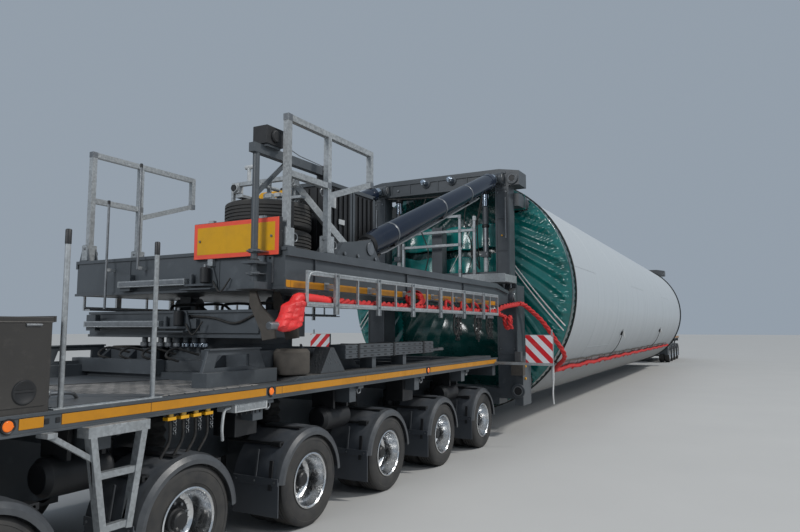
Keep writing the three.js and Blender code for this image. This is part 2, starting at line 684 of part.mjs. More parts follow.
// The arched guards over one side's wheels, on a rail under the side member
function makeMudguards(side, axles) {
  const ends = [side * 780, side * 1290].sort((a, b) => a - b);
  const pieces = [];
  const steps = 7;
  for (const x of axles) {
    const outline = [];
    const arc = (radius, from, to) => {
      for (let i = 0; i <= steps; i += 1) {
        const angle = THREE.MathUtils.degToRad(from + ((to - from) * i) / steps);
        outline.push([x + radius * Math.cos(angle), TYRE_RADIUS + radius * Math.sin(angle)]);
      }
    };
    arc(GUARD_INNER_RADIUS + GUARD_SHEET, 8, 172);
    arc(GUARD_INNER_RADIUS, 172, 8);
    pieces.push(sidePlate(outline, ...ends));
  }
  const rail = [side * 1090, side * 1150].sort((a, b) => a - b);
  const railZ = TYRE_RADIUS + GUARD_INNER_RADIUS;
  pieces.push(box(axles[0] - 40, axles[axles.length - 1] + 40, ...rail, railZ + 2, railZ + 50));
  const face = BOGIE_HALF_WIDTH - SIDE_MEMBER_WIDTH - SEAT;
  const arm = [side * 1140, side * face].sort((a, b) => a - b);
  for (const x of axles) {
    pieces.push(box(x - 30, x + 30, ...rail, railZ + 40, SIDE_MEMBER_BOTTOM + 60));
    pieces.push(box(x - 30, x + 30, ...arm, SIDE_MEMBER_BOTTOM + 20, SIDE_MEMBER_BOTTOM + 60));
  }
  return join(pieces);
}

function makeToolbox() {
  const floor = DECK_TOP + SEAT;
  return join([
    box(-4500, -2840, -1285, 1285, floor, 1790),
    box(-4510, -2830, -1290, 1290, 1780, 1810),
  ]);
}

function makeLadder() {
  const y = -1335;
  const seat = SIDE_MEMBER_BOTTOM - SEAT;
  const inner = -BOGIE_HALF_WIDTH + 34;
  const pieces = [
    bar([-2610, y, 1150], [-2510, y, 530], 60, 45),
    bar([-2235, y, 1150], [-2335, y, 530], 60, 45),
    box(-2640, -2200, y - 30, inner, 1105, seat),
    box(-2890, -2830, y - 30, inner, 1140, seat),
    bar([-2860, y, 1150], [-2585, y, 975], 30, 30),
    box(-2530, -2320, y - 22, y + 22, 540, 580),
    box(-2580, -2270, y - 22, y + 22, 855, 895),
  ];
  return join(pieces);
}

function makeStanchions() {
  const pieces = [box(-2815, -2040, -1288, -1230, DECK_TOP + SEAT, DECK_TOP + 12)];
  for (const x of [-2755, -2105]) {
    pieces.push(roundAlongZ(16, DECK_TOP + 5, 2320, x, -1258, 12));
  }
  return join(pieces);
}

function makePlankStack() {
  const floor = DECK_TOP + SEAT;
  return join([
    box(250, 2280, -1240, -1040, 1440, 1580),
    box(810, 890, -1220, -1060, floor, 1450),
    box(1510, 1590, -1220, -1060, floor, 1450),
    roundAlongX(20, 2270, 2810, -1130, 1465, 12),
  ]);
}

// A striped board on an arm that slides in the deck's corner
function makeMarker(side) {
  const span = (a, b) => [side * a, side * b].sort((p, q) => p - q);
  const [bottom, top] = [MARKER_ARM_Z - MARKER_ARM_HALF, MARKER_ARM_Z + MARKER_ARM_HALF];
  return join([
    box(MARKER_X - 15, MARKER_X + 15, ...span(1790, 2210), top - 5, 1640),
    box(MARKER_X - 25, MARKER_X + 25, ...span(1790, 2210), bottom, top + 5),
    box(MARKER_X - MARKER_ARM_HALF, MARKER_X + MARKER_ARM_HALF, ...span(1190, 1800), bottom, top),
  ]);
}

// The slot through the side member that the arm slides in
function makeMarkerSlot(side) {
  const span = [side * 690, side * (BOGIE_HALF_WIDTH + 10)].sort((p, q) => p - q);
  const reach = MARKER_ARM_HALF + 0.5;
  return box(MARKER_X - reach, MARKER_X + reach, ...span, MARKER_ARM_Z - reach, MARKER_ARM_Z + reach);
}

// Hoses. The rack hose lies in the right rack and hangs in a loop before the
// mast; the tower line starts at the mast's foot and runs along the shell.

const HOSE_RADIUS = 42;
const RACK_HOSE_Y = -1407;

function makeRackHose() {
  const y = RACK_HOSE_Y;
  const points = [[-770, y - 10, 1690], [-815, y, 1840], [-770, y, 1960], [-690, y, 2005], [-560, y, 2010]];
  const lying = RACK_TRAY_TOP + HOSE_RADIUS + 2 * SEAT;
  const last = 11;
  for (let i = 0; i <= last; i += 1) {
    points.push([100 + i * 330, y + (i % 2 ? 2 : -2), lying + (i % last === 0 ? 5 : 0)]);
  }
  points.push([4160, y - 3, 2000], [4300, y - 40, 1940], [4460, y - 70, 1850], [4600, y - 85, 1800]);
  points.push([4730, y - 90, 1830], [4840, y - 90, 1950], [4960, y - 90, 2130]);
  return hose(points, HOSE_RADIUS, 64);
}

// A point that stands off the shell's right side by a distance
function besideShell(x, z, off) {
  return [x, -Math.sqrt((TOWER_RADIUS + off) ** 2 - (TOWER_AXIS_Z - z) ** 2), z];
}

function makeTowerLine() {
  const y = RACK_HOSE_Y - 80;
  const points = [[5015, y - 13, 2165], [5300, y - 70, 2110], [5560, -1800, 1900], [5760, -2080, 1580]];
  points.push([5930, -2100, 1300], besideShell(6250, 1060, 75));
  for (let i = 0; i < 24; i += 1) {
    points.push(besideShell(6700 + i * 800, 1000 + (i % 2 ? 16 : -16), HOSE_RADIUS - 2 * SEAT));
  }
  return hose(points, HOSE_RADIUS, 64);
}

// Builds one whole unit. The rear unit has the full bogie and its fittings.

function addAdapter(group, unit) {
  addPiece(group, `${unit}_mast`, makeMast(), ADAPTER_GREY);
  addPiece(group, `${unit}_cover`, makeCover(), COVER_GREEN);
  addPiece(group, `${unit}_bolster`, makeBolster(), ADAPTER_GREY);
  addPiece(group, `${unit}_turntable_base`, makeTurntableBase(), ADAPTER_GREY);
  addCylinder(group, unit, -1);
  addCylinder(group, unit, 1);
}

function addRearBogie(group) {
  const axles = axlePlaces(REAR_FIRST_AXLE, REAR_AXLES);
  const ends = [-REAR_DECK_BACK, REAR_DECK_FRONT];
  const frame = cut(makeChassis(...ends, axles), [makeMarkerSlot(-1), makeMarkerSlot(1)]);
  addPiece(group, 'rear_chassis', frame, ADAPTER_GREY);
  addPiece(group, 'rear_deck', makeDeck(...ends), GALVANISED);
  addPiece(group, 'rear_mudguards_right', makeMudguards(-1, axles), GUARD_PLASTIC);
  addPiece(group, 'rear_mudguards_left', makeMudguards(1, axles), GUARD_PLASTIC);
  addWheelsets(group, 'rear', axles);
  addPiece(group, 'toolbox', makeToolbox(), ADAPTER_GREY);
  addPiece(group, 'ladder', makeLadder(), GALVANISED);
  addPiece(group, 'stanchions', makeStanchions(), GALVANISED);
  addPiece(group, 'plank_stack', makePlankStack(), GALVANISED);
  addPiece(group, 'marker_right', makeMarker(-1), MARKER_RED);
  addPiece(group, 'marker_left', makeMarker(1), MARKER_RED);
}

function addFrontBogie(group) {
  const axles = axlePlaces(FRONT_FIRST_AXLE, FRONT_AXLES);
  const ends = [-FRONT_DECK_HALF, FRONT_DECK_HALF];
  const half = BOGIE_HALF_WIDTH - 20;
  const length = FRONT_DECK_HALF - 20;
  const deck = box(-length, length, -half, half, DECK_TOP - 2 * DECK_SHEET, DECK_TOP);
  const guards = [makeFrontGuards(-1, axles), makeFrontGuards(1, axles)];
  const frame = join([makeChassis(...ends, axles), deck, ...guards]);
  addPiece(group, 'front_chassis', frame, ADAPTER_GREY);
  addWheelsets(group, 'front', axles);
}

// The same guards, with arms let into the side member
function makeFrontGuards(side, axles) {
  const reach = [side * 1150, side * (BOGIE_HALF_WIDTH - 50)].sort((a, b) => a - b);
  const base = SIDE_MEMBER_BOTTOM + 20;
  const arms = axles.map((x) => box(x - 30, x + 30, ...reach, base, base + 40));
  return join([makeMudguards(side, axles), ...arms]);
}

function addPlatformFittings(group) {
  addPiece(group, 'rear_platform', join([makePlatform(), makeDavitSocket()]), ADAPTER_GREY);
  addPiece(group, 'handrail_right', makeHandrail(-1), GALVANISED);
  addPiece(group, 'handrail_left', makeHandrail(1), GALVANISED);
  addPiece(group, 'spare_tyres', makeSpareTyres(), BLACK_RUBBER);
  addPiece(group, 'spare_tyre_clamp', makeTyreClamp(), GALVANISED);
  addPiece(group, 'power_pack', makePowerPack(), SIGN_YELLOW);
  addPiece(group, 'cabinet_back', makeCabinet(370, 830), ADAPTER_GREY);
  addPiece(group, 'cabinet_front', makeCabinet(860, 1330), ADAPTER_GREY);
  addPiece(group, 'side_rack_right', makeSideRack(-1), GALVANISED);
  addPiece(group, 'side_rack_left', makeSideRack(1), GALVANISED);
  addPiece(group, 'sign_board', makeSignBoard(), SIGN_YELLOW);
  addPiece(group, 'light_bar', makeLightBar(), GALVANISED);
  addPiece(group, 'davit', makeDavit(), ADAPTER_GREY);
  addPiece(group, 'rack_hose', makeRackHose(), HOSE_RED);
}

function addMastFittings(group) {
  addPiece(group, 'mast_column_right', makeMastColumn(-1), CHROME);
  addPiece(group, 'mast_column_left', makeMastColumn(1), CHROME);
  addPiece(group, 'standing_places', makeStandingPlaces(), GALVANISED);
  addPiece(group, 'tower_line', makeTowerLine(), HOSE_RED);
}

const OVERALL = REAR_DECK_BACK + 2 * FLANGE_X + TOWER_LENGTH + FRONT_DECK_HALF;
const REAR_UNIT_X = REAR_DECK_BACK - OVERALL / 2;
const FRONT_UNIT_X = OVERALL / 2 - FRONT_DECK_HALF;
const towerMiddle = (REAR_UNIT_X + FRONT_UNIT_X) / 2;

const assembly = new THREE.Group();

addPiece(assembly, 'tower_shell', makeTower(), TOWER_WHITE).position.x = towerMiddle;

const rear = new THREE.Group();
rear.position.x = REAR_UNIT_X;
addAdapter(rear, 'rear');
addPlatformFittings(rear);
addMastFittings(rear);
addRearBogie(rear);
assembly.add(rear);

const front = new THREE.Group();
front.position.x = FRONT_UNIT_X;
front.rotation.z = Math.PI;
addAdapter(front, 'front');
addPiece(front, 'front_platform', makePlatform(), ADAPTER_GREY);
addFrontBogie(front);
assembly.add(front);

export default assembly;
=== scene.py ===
"""Looks of a wind turbine tower section that rides between two lifting adapters on multi-axle bogies.

Each unit is drawn in its own frame, in metres: the origin on the ground under its turntable, x towards the
tower, z up. REAR and FRONT place the two units in the row frame.
"""

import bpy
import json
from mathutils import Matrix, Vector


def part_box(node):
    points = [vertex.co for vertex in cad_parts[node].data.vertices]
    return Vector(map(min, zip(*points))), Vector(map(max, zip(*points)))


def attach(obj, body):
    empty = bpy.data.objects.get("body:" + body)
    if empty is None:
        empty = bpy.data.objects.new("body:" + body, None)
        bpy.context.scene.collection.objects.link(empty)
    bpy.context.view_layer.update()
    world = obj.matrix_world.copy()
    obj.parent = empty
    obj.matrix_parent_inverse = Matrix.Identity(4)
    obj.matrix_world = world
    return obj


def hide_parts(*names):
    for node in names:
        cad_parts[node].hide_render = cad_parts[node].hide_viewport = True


bl_info = {
    "name": "Tower section transport",
    "version": (1, 0, 0),
    "blender": (4, 5, 0),
    "location": "View3D > Sidebar > Transport",
    "description": "Dresses a tower section, its two lifting adapters and their bogies",
    "category": "Object",
}

import json
import random
from math import atan2, copysign, cos, exp, pi, radians, sin, sqrt, tau

import bmesh
import bpy
from bpy.props import FloatProperty, FloatVectorProperty, IntProperty, PointerProperty
from bpy.types import Operator, Panel, PropertyGroup
from mathutils import Matrix, Vector, noise

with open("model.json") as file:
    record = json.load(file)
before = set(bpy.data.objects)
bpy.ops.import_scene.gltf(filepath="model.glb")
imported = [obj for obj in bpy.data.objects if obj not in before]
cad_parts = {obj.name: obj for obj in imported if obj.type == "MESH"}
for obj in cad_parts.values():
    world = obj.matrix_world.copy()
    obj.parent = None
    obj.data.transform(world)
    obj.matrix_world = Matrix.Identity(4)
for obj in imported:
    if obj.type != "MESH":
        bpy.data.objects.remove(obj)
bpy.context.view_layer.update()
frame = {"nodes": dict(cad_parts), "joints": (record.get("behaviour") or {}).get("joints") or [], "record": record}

JOINTS = {joint["name"]: joint for joint in frame["joints"]}
REAR_X = JOINTS["rear_slew"]["pos_m"][0]
FRONT_X = JOINTS["front_slew"]["pos_m"][0]
REAR = Matrix.Translation((REAR_X, 0, 0))
FRONT = Matrix.Translation((FRONT_X, 0, 0)) @ Matrix.Rotation(pi, 4, "Z")
UNITS = {"rear": REAR, "front": FRONT}
HANDS = {"right": -1, "left": 1}
SIDES = tuple(HANDS.values())

# The finishes that most small parts have
GREY, ZINC, STEEL, BLACK, WHITE = "adapter_grey", "galvanised", "steel_parts", "black_parts", "white_parts"

# Places in a unit's own frame, in metres
DECK_TOP = 1.28
DECK_HALF = 1.29
DECK_ENDS = {"rear": (-4.52, 4.53), "front": (-2.875, 2.875)}
FIRST_AXLE = {"rear": -3.17, "front": -2.13}
AXLES = {"rear": 6, "front": 4}
AXLE_PITCH = 1.42
AXLE_Z = 0.395
PLATFORM_BACK = -0.86
PLATFORM_Z = (2.08, 2.43)
PLATFORM_HALF = 1.36
LIFT_PIVOT = (4.98, 2.25)
CYLINDER_FOOT = Vector((0.70, 0.0, 2.585))
CYLINDER_HEAD = Vector((5.03, 0.0, 4.27))
CYLINDER_Y = 1.11
MAST_BACK = 5.13
MAST_Y = (1.09, 1.43)
SLIM_Y = (1.08, 1.32)
STEP_Z = 2.45
MAST_TOP = 4.45
BEAM_Z = 4.15
FLANGE_X = 5.88
CLAMP_Y = 1.26
CLAMP_LEVELS = (0.855, 3.945)
DAVIT = (-1.01, -1.15)
JIB_Z = 3.27


# Settings that a user would change

class TowerSizes(PropertyGroup):
    radius: FloatProperty(name="Radius", description="Outer radius of the shell", default=2.15, unit="LENGTH")
    axis_z: FloatProperty(name="Axis height", description="Height of the axis", default=2.4, unit="LENGTH")
    wall: FloatProperty(name="Wall", description="Thickness of the shell plate", default=0.025, unit="LENGTH")
    seams: IntProperty(name="Round seams", description="Welds between the rolled rings", default=8, min=1)


class CoverSizes(PropertyGroup):
    skirt: FloatProperty(name="Skirt", description="Length drawn over the shell", default=0.29, unit="LENGTH")
    draw: FloatProperty(name="Draw", description="How far the middle stands out", default=0.2, unit="LENGTH")
    fold: FloatProperty(name="Fold depth", description="Depth of the long folds", default=0.1, unit="LENGTH")
    gather: FloatProperty(name="Gather depth", description="Depth of the hem gathers", default=0.03, unit="LENGTH")
    folds: IntProperty(name="Folds", description="Long folds over a half turn", default=52, min=4)
    gathers: IntProperty(name="Gathers", description="Hem gathers over a whole turn", default=120, min=8)
    rings: IntProperty(name="Rings", description="Mesh rings from the middle to the rim", default=50, min=8)
    spokes: IntProperty(name="Spokes", description="Mesh spokes round the sheet", default=600, min=64)


class WheelSizes(PropertyGroup):
    radius: FloatProperty(name="Tyre radius", description="Radius of the tread", default=0.395, unit="LENGTH")
    rim: FloatProperty(name="Rim radius", description="Radius of the bead seat", default=0.226, unit="LENGTH")
    inner: FloatProperty(name="Inner face", description="Inner tyre's inner face", default=0.77, unit="LENGTH")
    outer: FloatProperty(name="Outer face", description="Outer tyre's outer face", default=1.275, unit="LENGTH")
    gap: FloatProperty(name="Twin gap", description="Space between twin tyres", default=0.03, unit="LENGTH")
    groove: FloatProperty(name="Groove depth", description="Depth of the tread grooves", default=0.011,
                          unit="LENGTH")
    nuts: IntProperty(name="Nuts", description="Nuts on a wheel disc", default=10, min=4)


class BogieSizes(PropertyGroup):
    guard: FloatProperty(name="Guard radius", description="Inside radius of a mudguard", default=0.459,
                         unit="LENGTH")
    sheet: FloatProperty(name="Guard sheet", description="Thickness of a mudguard", default=0.016, unit="LENGTH")
    stripe: FloatProperty(name="Stripe", description="Height of the side stripe", default=0.06, unit="LENGTH")
    edge: FloatProperty(name="Edge", description="Rounding of steel edges", default=0.005, unit="LENGTH")


class Colours(PropertyGroup):
    tower: FloatVectorProperty(name="Tower", description="Tower paint", subtype="COLOR", default=(0.46, 0.50, 0.53))
    cover: FloatVectorProperty(name="Cover", description="Coated sheet", subtype="COLOR",
                               default=(0.001, 0.125, 0.115))
    adapter: FloatVectorProperty(name="Adapter", description="Adapter and bogie paint", subtype="COLOR",
                                 default=(0.066, 0.076, 0.086))
    zinc: FloatVectorProperty(name="Zinc", description="Galvanised steel", subtype="COLOR",
                              default=(0.42, 0.45, 0.47))
    stripe: FloatVectorProperty(name="Stripe", description="Yellow side stripe", subtype="COLOR",
                                default=(0.56, 0.235, 0.004))
    wrap: FloatVectorProperty(name="Wrap", description="Red hose wrap", subtype="COLOR",
                              default=(0.76, 0.030, 0.030))
    navy: FloatVectorProperty(name="Navy", description="Lift cylinder paint", subtype="COLOR",
                              default=(0.006, 0.012, 0.027))


class StageSizes(PropertyGroup):
    camera_place: FloatVectorProperty(name="Camera", description="Place of the lens", subtype="TRANSLATION",
                                      default=(-20.5275, -4.75, 1.75))
    camera_turn: FloatProperty(name="Turn", description="Turn to the left of the travel direction",
                               default=radians(28.3), subtype="ANGLE")
    camera_pitch: FloatProperty(name="Pitch", description="Upward tilt", default=radians(5.5), subtype="ANGLE")
    lens: FloatProperty(name="Lens", description="Focal length on a 36 mm sensor", default=28.8)
    floor: FloatProperty(name="Floor", description="Half side of the floor", default=160.0, unit="LENGTH")


# Shader maths

def operation(name, swapped=False):
    """A method that adds a Math node to the wires it works on."""
    def method(self, *others):
        values = (*others, self) if swapped else (self, *others)
        return self.paint.node("ShaderNodeMath", {"operation": name}, dict(enumerate(values)))
    return method


class Wire:
    """A node socket that takes part in arithmetic: an expression on wires adds Math nodes."""

    def __init__(self, paint, socket):
        self.paint = paint
        self.socket = socket

    __add__ = __radd__ = operation("ADD")
    __sub__ = operation("SUBTRACT")
    __rsub__ = operation("SUBTRACT", swapped=True)
    __mul__ = __rmul__ = operation("MULTIPLY")
    __pow__ = operation("POWER")
    __mod__ = operation("FLOORED_MODULO")
    __abs__ = operation("ABSOLUTE")
    __gt__ = operation("GREATER_THAN")
    __lt__ = operation("LESS_THAN")
    floor = operation("FLOOR")
    larger = operation("MAXIMUM")


class Paint:
    """A material and its nodes. Any node comes from node(): its settings are set first, then its sockets."""

    def __init__(self, name):
        self.material = bpy.data.materials.new(f"finish_{name}")
        self.material.use_nodes = True
        self.tree = self.material.node_tree
        self.surface = self.tree.nodes["Principled BSDF"]

    def node(self, kind, settings=None, inputs=None, output=0):
        made = self.tree.nodes.new(kind)
        for name, value in (settings or {}).items():
            if name == "stops":
                self.set_stops(made.color_ramp, value)
            else:
                setattr(made, name, value)
        for key, value in (inputs or {}).items():
            self.feed(made.inputs[key], value)
        return Wire(self, made.outputs[output])

    def feed(self, socket, value):
        if isinstance(value, Wire):
            self.tree.links.new(value.socket, socket)
        else:
            socket.default_value = value

    def set_stops(self, ramp, stops):
        while len(ramp.elements) < len(stops):
            ramp.elements.new(0.5)
        for element, (place, value) in zip(ramp.elements, stops):
            element.position = place
            element.color = (value, value, value, 1)

    def set(self, **sockets):
        for name, value in sockets.items():
            self.feed(self.surface.inputs[name.replace("_", " ").title().replace("Ior", "IOR")], value)

    def coordinates(self):
        return self.node("ShaderNodeTexCoord", output="Object")

    def axes(self):
        split = self.node("ShaderNodeSeparateXYZ", inputs={0: self.coordinates()})
        outputs = split.socket.node.outputs
        return [Wire(self, outputs[i]) for i in range(3)]

    def up(self):
        split = self.node("ShaderNodeSeparateXYZ", inputs={0: self.node("ShaderNodeNewGeometry", output="Normal")})
        return Wire(self, split.socket.node.outputs[2])

    def stretched(self, scale):
        return self.node("ShaderNodeMapping", inputs={"Vector": self.coordinates(), "Scale": scale})

    def cloud(self, scale, detail=4.0, rough=0.55, where=None):
        inputs = {"Vector": where or self.coordinates(), "Scale": scale, "Detail": detail, "Roughness": rough}
        return self.node("ShaderNodeTexNoise", inputs=inputs)

    def cells(self, scale, feature="F1", where=None, output="Distance"):
        inputs = {"Vector": where or self.coordinates(), "Scale": scale}
        return self.node("ShaderNodeTexVoronoi", {"feature": feature}, inputs, output)

    def ramp(self, value, *stops):
        return self.node("ShaderNodeValToRGB", {"stops": stops}, {0: value})

    def mask(self, low, high, *cloud):
        """Where a cloud lies between two levels, from 0 to 1."""
        return self.ramp(self.cloud(*cloud), (low, 0.0), (high, 1.0))

    def mix(self, factor, first, second):
        pick = {0: factor, 6: opaque(first), 7: opaque(second)}
        return self.node("ShaderNodeMix", {"data_type": "RGBA"}, pick, 2)

    def bump(self, height, distance, strength=1.0):
        return self.node("ShaderNodeBump", inputs={"Height": height, "Distance": distance, "Strength": strength})


def opaque(colour):
    return colour if isinstance(colour, Wire) else (*tuple(colour)[:3], 1.0)


def finished(name):
    return bpy.data.materials[f"finish_{name}"]


def shade(colour, factor):
    return tuple(min(1.0, part * factor) for part in tuple(colour)[:3])


DUST = (0.12, 0.11, 0.10)


def paint_steel(name, colour, rough=0.42, dust=0.5, metal=0.0, grain=0.0004):
    """Sprayed steel: slight orange peel, dust on what faces up, paler rubbed patches."""
    paint = Paint(name)
    patches = paint.mask(0.35, 0.7, 1.7, 6.0)
    rubbed = paint.mask(0.56, 0.68, 9.0, 8.0, 0.7)
    lying = paint.ramp(paint.up(), (0.35, 0.0), (0.95, 1.0))
    base = paint.mix(patches, shade(colour, 0.82), shade(colour, 1.18))
    base = paint.mix(rubbed * 0.35, base, shade(colour, 1.9))
    dusty = lying * patches * dust
    paint.set(
        base_color=paint.mix(dusty, base, DUST),
        roughness=rough + dusty * 0.35 + rubbed * 0.12 + patches * 0.06,
        metallic=metal,
        normal=paint.bump(paint.cloud(140.0, 2.0), grain),
    )
    return paint


def finish_adapter_grey(colours):
    paint_steel("adapter_grey", colours.adapter, 0.38, 0.45)


def finish_deck_grey(colours):
    paint = paint_steel("deck_grey", shade(colours.adapter, 0.8), 0.5, 0.8)
    rows = paint.cells(26.0, "F1", paint.stretched((1.0, 1.7, 1.0)))
    paint.set(normal=paint.bump(paint.ramp(rows, (0.1, 1.0), (0.4, 0.0)), 0.003))


def finish_deck_grid(colours):
    """Rows of anti-slip blocks with dark joints between them; the blocks' pale colour is a painted sky reflection.
    """
    paint = Paint("deck_grid")
    x, y, _ = paint.axes()
    wide, long = 0.088, 0.142
    across = y % wide
    along = (x + (y * (1 / wide)).floor() * (long / 2)) % long
    joint = (along < 0.016).larger(across < 0.014)
    # The pale block colours are a painted sky reflection; this mask varies them in patches, and the roughness too.
    wear_and_sheen = paint.mask(0.35, 0.65, 6.0, 8.0, 0.7)
    block = paint.mix(wear_and_sheen, (0.13, 0.126, 0.12), (0.28, 0.27, 0.26))
    paint.set(
        base_color=paint.mix(joint, block, shade(colours.adapter, 0.45)),
        roughness=0.75 - wear_and_sheen * 0.15,
        normal=paint.bump((1 - joint) + paint.cloud(90.0, 3.0) * 0.3, 0.004),
    )


def finish_galvanised(colours):
    """Zinc with its spangle: pale and dark crystals, dull streaks."""
    paint = Paint("galvanised")
    spangle = paint.cells(55.0, "F1", output="Color")
    grey = paint.node("ShaderNodeRGBToBW", inputs={0: spangle})
    streak = paint.mask(0.3, 0.7, 3.0, 6.0, 0.6, paint.stretched((1.0, 1.0, 0.25)))
    base = paint.mix(grey * 0.7, shade(colours.zinc, 0.74), shade(colours.zinc, 1.28))
    paint.set(
        base_color=paint.mix(streak * 0.4, base, (0.16, 0.16, 0.155)),
        metallic=0.55,
        roughness=0.42 + grey * 0.16,
        normal=paint.bump(paint.cloud(60.0, 3.0), 0.0005),
    )


def finish_tower_paint(colours):
    """Thick two-part paint on rolled plate: nearly even, with faint runs, and darker towards the bottom as painted
    shade, with dirt specks there.
    """
    paint = Paint("tower_paint")
    _, _, z = paint.axes()
    runs = paint.mask(0.42, 0.75, 1.4, 5.0, 0.6, paint.stretched((3.0, 1.0, 0.25)))
    specks = paint.mask(0.66, 0.72, 22.0, 6.0, 0.75)
    # The darkening towards the bottom is painted shade; the specks in it are dirt.
    low = paint.node("ShaderNodeMapRange", inputs={0: z, 1: 2.2, 2: 0.3, 3: 0.0, 4: 1.0})
    base = paint.mix(runs * 0.12, colours.tower, shade(colours.tower, 0.72))
    base = paint.mix(low * 0.7 + specks * low * 0.25, base, (0.14, 0.13, 0.115))
    paint.set(
        base_color=base,
        roughness=0.4 + runs * 0.1 + low * 0.15,
        normal=paint.bump(paint.cloud(0.9, 3.0) + paint.cloud(180.0, 2.0) * 0.02, 0.004),
    )


def finish_cover_sheet(name, colour):
    """Coated PVC: wet-looking, with fine creases, and paler where it is worn on a ridge."""
    paint = Paint(name)
    patches = paint.mask(0.3, 0.7, 2.2, 5.0)
    creases = paint.node("ShaderNodeTexNoise", {"noise_type": "RIDGED_MULTIFRACTAL"},
                         {"Vector": paint.coordinates(), "Scale": 3.5, "Detail": 7.0})
    weave = paint.cells(900.0, "F1")
    base = paint.mix(patches, shade(colour, 0.75), shade(colour, 1.3))
    paint.set(
        base_color=paint.mix(paint.ramp(creases, (0.75, 0.0), (1.0, 1.0)) * 0.25, base, shade(colour, 2.6)),
        roughness=0.19 + patches * 0.1,
        normal=paint.bump(creases * 0.6 + weave * 0.02, 0.012),
    )
    paint.set(coat_roughness=0.09, specular_ior_level=0.5, coat_weight=0.45)


def finish_rubber(name, colour, scale=1.0):
    """Tyre or hose rubber, greyed by dust, with a fine skin."""
    paint = Paint(name)
    dusty = paint.mask(0.35, 0.72, 7.0 * scale, 7.0, 0.65)
    paint.set(
        base_color=paint.mix(dusty * 0.6, colour, (0.085, 0.080, 0.072)),
        roughness=0.62 + dusty * 0.25,
        normal=paint.bump(paint.cloud(90.0 * scale, 4.0), 0.0006),
    )


def finish_alloy():
    """Polished wheel alloy with brake dust near the disc."""
    paint = Paint("rim_alloy")
    dusty = paint.mask(0.45, 0.75, 16.0, 7.0, 0.7)
    paint.set(base_color=paint.mix(dusty * 0.5, (0.78, 0.79, 0.80), (0.30, 0.29, 0.28)),
              metallic=1.0, roughness=0.16 + dusty * 0.3)


def finish_guard():
    """Moulded guard plastic: blue-grey, satin, scuffed, powdered with dust on top."""
    paint = Paint("guard_plastic")
    dusty = paint.mask(0.38, 0.68, 4.0, 8.0, 0.7)
    lying = paint.ramp(paint.up(), (0.1, 0.15), (0.9, 1.0))
    scuffs = paint.mask(0.62, 0.7, 18.0, 6.0, 0.8, paint.stretched((0.3, 1.0, 3.0)))
    base = paint.mix(dusty * lying * 0.5, (0.055, 0.063, 0.075), (0.14, 0.142, 0.145))
    paint.set(
        base_color=paint.mix(scuffs * 0.25, base, (0.06, 0.06, 0.06)),
        roughness=0.36 + dusty * 0.22,
        normal=paint.bump(paint.cloud(300.0, 2.0), 0.0005),
    )


def finish_cylinder(colours):
    paint = Paint("cylinder_paint")
    dusty = paint.mask(0.5, 0.8, 5.0, 7.0)
    paint.set(base_color=paint.mix(dusty * 0.08, colours.navy, (0.03, 0.034, 0.04)),
              roughness=0.12 + dusty * 0.1, normal=paint.bump(paint.cloud(40.0, 2.0), 0.0003))
    paint.set(specular_ior_level=0.4)


def finish_chrome():
    paint = Paint("chrome")
    film = paint.mask(0.45, 0.8, 9.0, 6.0)
    paint.set(base_color=paint.mix(film, (0.55, 0.62, 0.70), (0.42, 0.46, 0.5)), metallic=1.0,
              roughness=0.1 + film * 0.14)


def finish_wrap(colours):
    """Red braided wrap with dirt in its hollows."""
    paint = Paint("red_wrap")
    fibre = paint.cells(160.0)
    dirt = paint.mask(0.5, 0.75, 8.0, 7.0, 0.7)
    paint.set(
        base_color=paint.mix(dirt * 0.5, paint.mix(fibre, colours.wrap, shade(colours.wrap, 0.55)),
                             (0.10, 0.03, 0.03)),
        roughness=0.6 + fibre * 0.2,
        normal=paint.bump(fibre, 0.003),
    )


def finish_bag(colours):
    paint = Paint("red_bag")
    soft = paint.mask(0.3, 0.7, 5.0, 6.0)
    paint.set(
        base_color=paint.mix(soft, shade(colours.wrap, 0.8), shade(colours.wrap, 1.25)),
        roughness=0.38 + soft * 0.15,
        normal=paint.bump(paint.cloud(26.0, 6.0, 0.7), 0.006),
    )


def finish_flat(name, colour, rough=0.5, metal=0.0, glow=None):
    """A small painted or moulded part: slight mottling and a worn, duller film."""
    paint = Paint(name)
    worn = paint.mask(0.35, 0.75, 14.0, 6.0, 0.65)
    paint.set(base_color=paint.mix(worn, shade(colour, 0.8), shade(colour, 1.15)), metallic=metal,
              roughness=rough + worn * 0.12, normal=paint.bump(paint.cloud(120.0, 2.0), 0.0003))
    if glow:
        paint.set(emission_color=opaque(glow), emission_strength=0.25)


def finish_stripe(name, colour, pitch):
    """Reflective tape: fine honeycomb cells, thin joints, road dirt."""
    paint = Paint(name)
    cell = paint.cells(260.0, "DISTANCE_TO_EDGE")
    dirt = paint.mask(0.45, 0.8, 6.0, 7.0, 0.7)
    x, _, _ = paint.axes()
    joint = (x % pitch) < 0.006
    base = paint.mix(dirt * 0.35, colour, shade(colour, 0.45))
    paint.set(base_color=paint.mix(joint, base, shade(colour, 0.25)), roughness=0.3 + dirt * 0.25,
              normal=paint.bump(cell, 0.0006))


def finish_marker():
    """Red and white bands that run down towards the outer edge of both boards."""
    paint = Paint("marker_stripes")
    _, y, z = paint.axes()
    band = ((z + abs(y)) % 0.212) < 0.106
    cell = paint.cells(220.0, "DISTANCE_TO_EDGE")
    dirt = paint.mask(0.5, 0.85, 9.0, 6.0, 0.7)
    base = paint.mix(band, (0.72, 0.74, 0.76), (0.62, 0.012, 0.02))
    paint.set(base_color=paint.mix(dirt * 0.3, base, (0.25, 0.22, 0.2)), roughness=0.28 + dirt * 0.2,
              normal=paint.bump(cell, 0.0005))


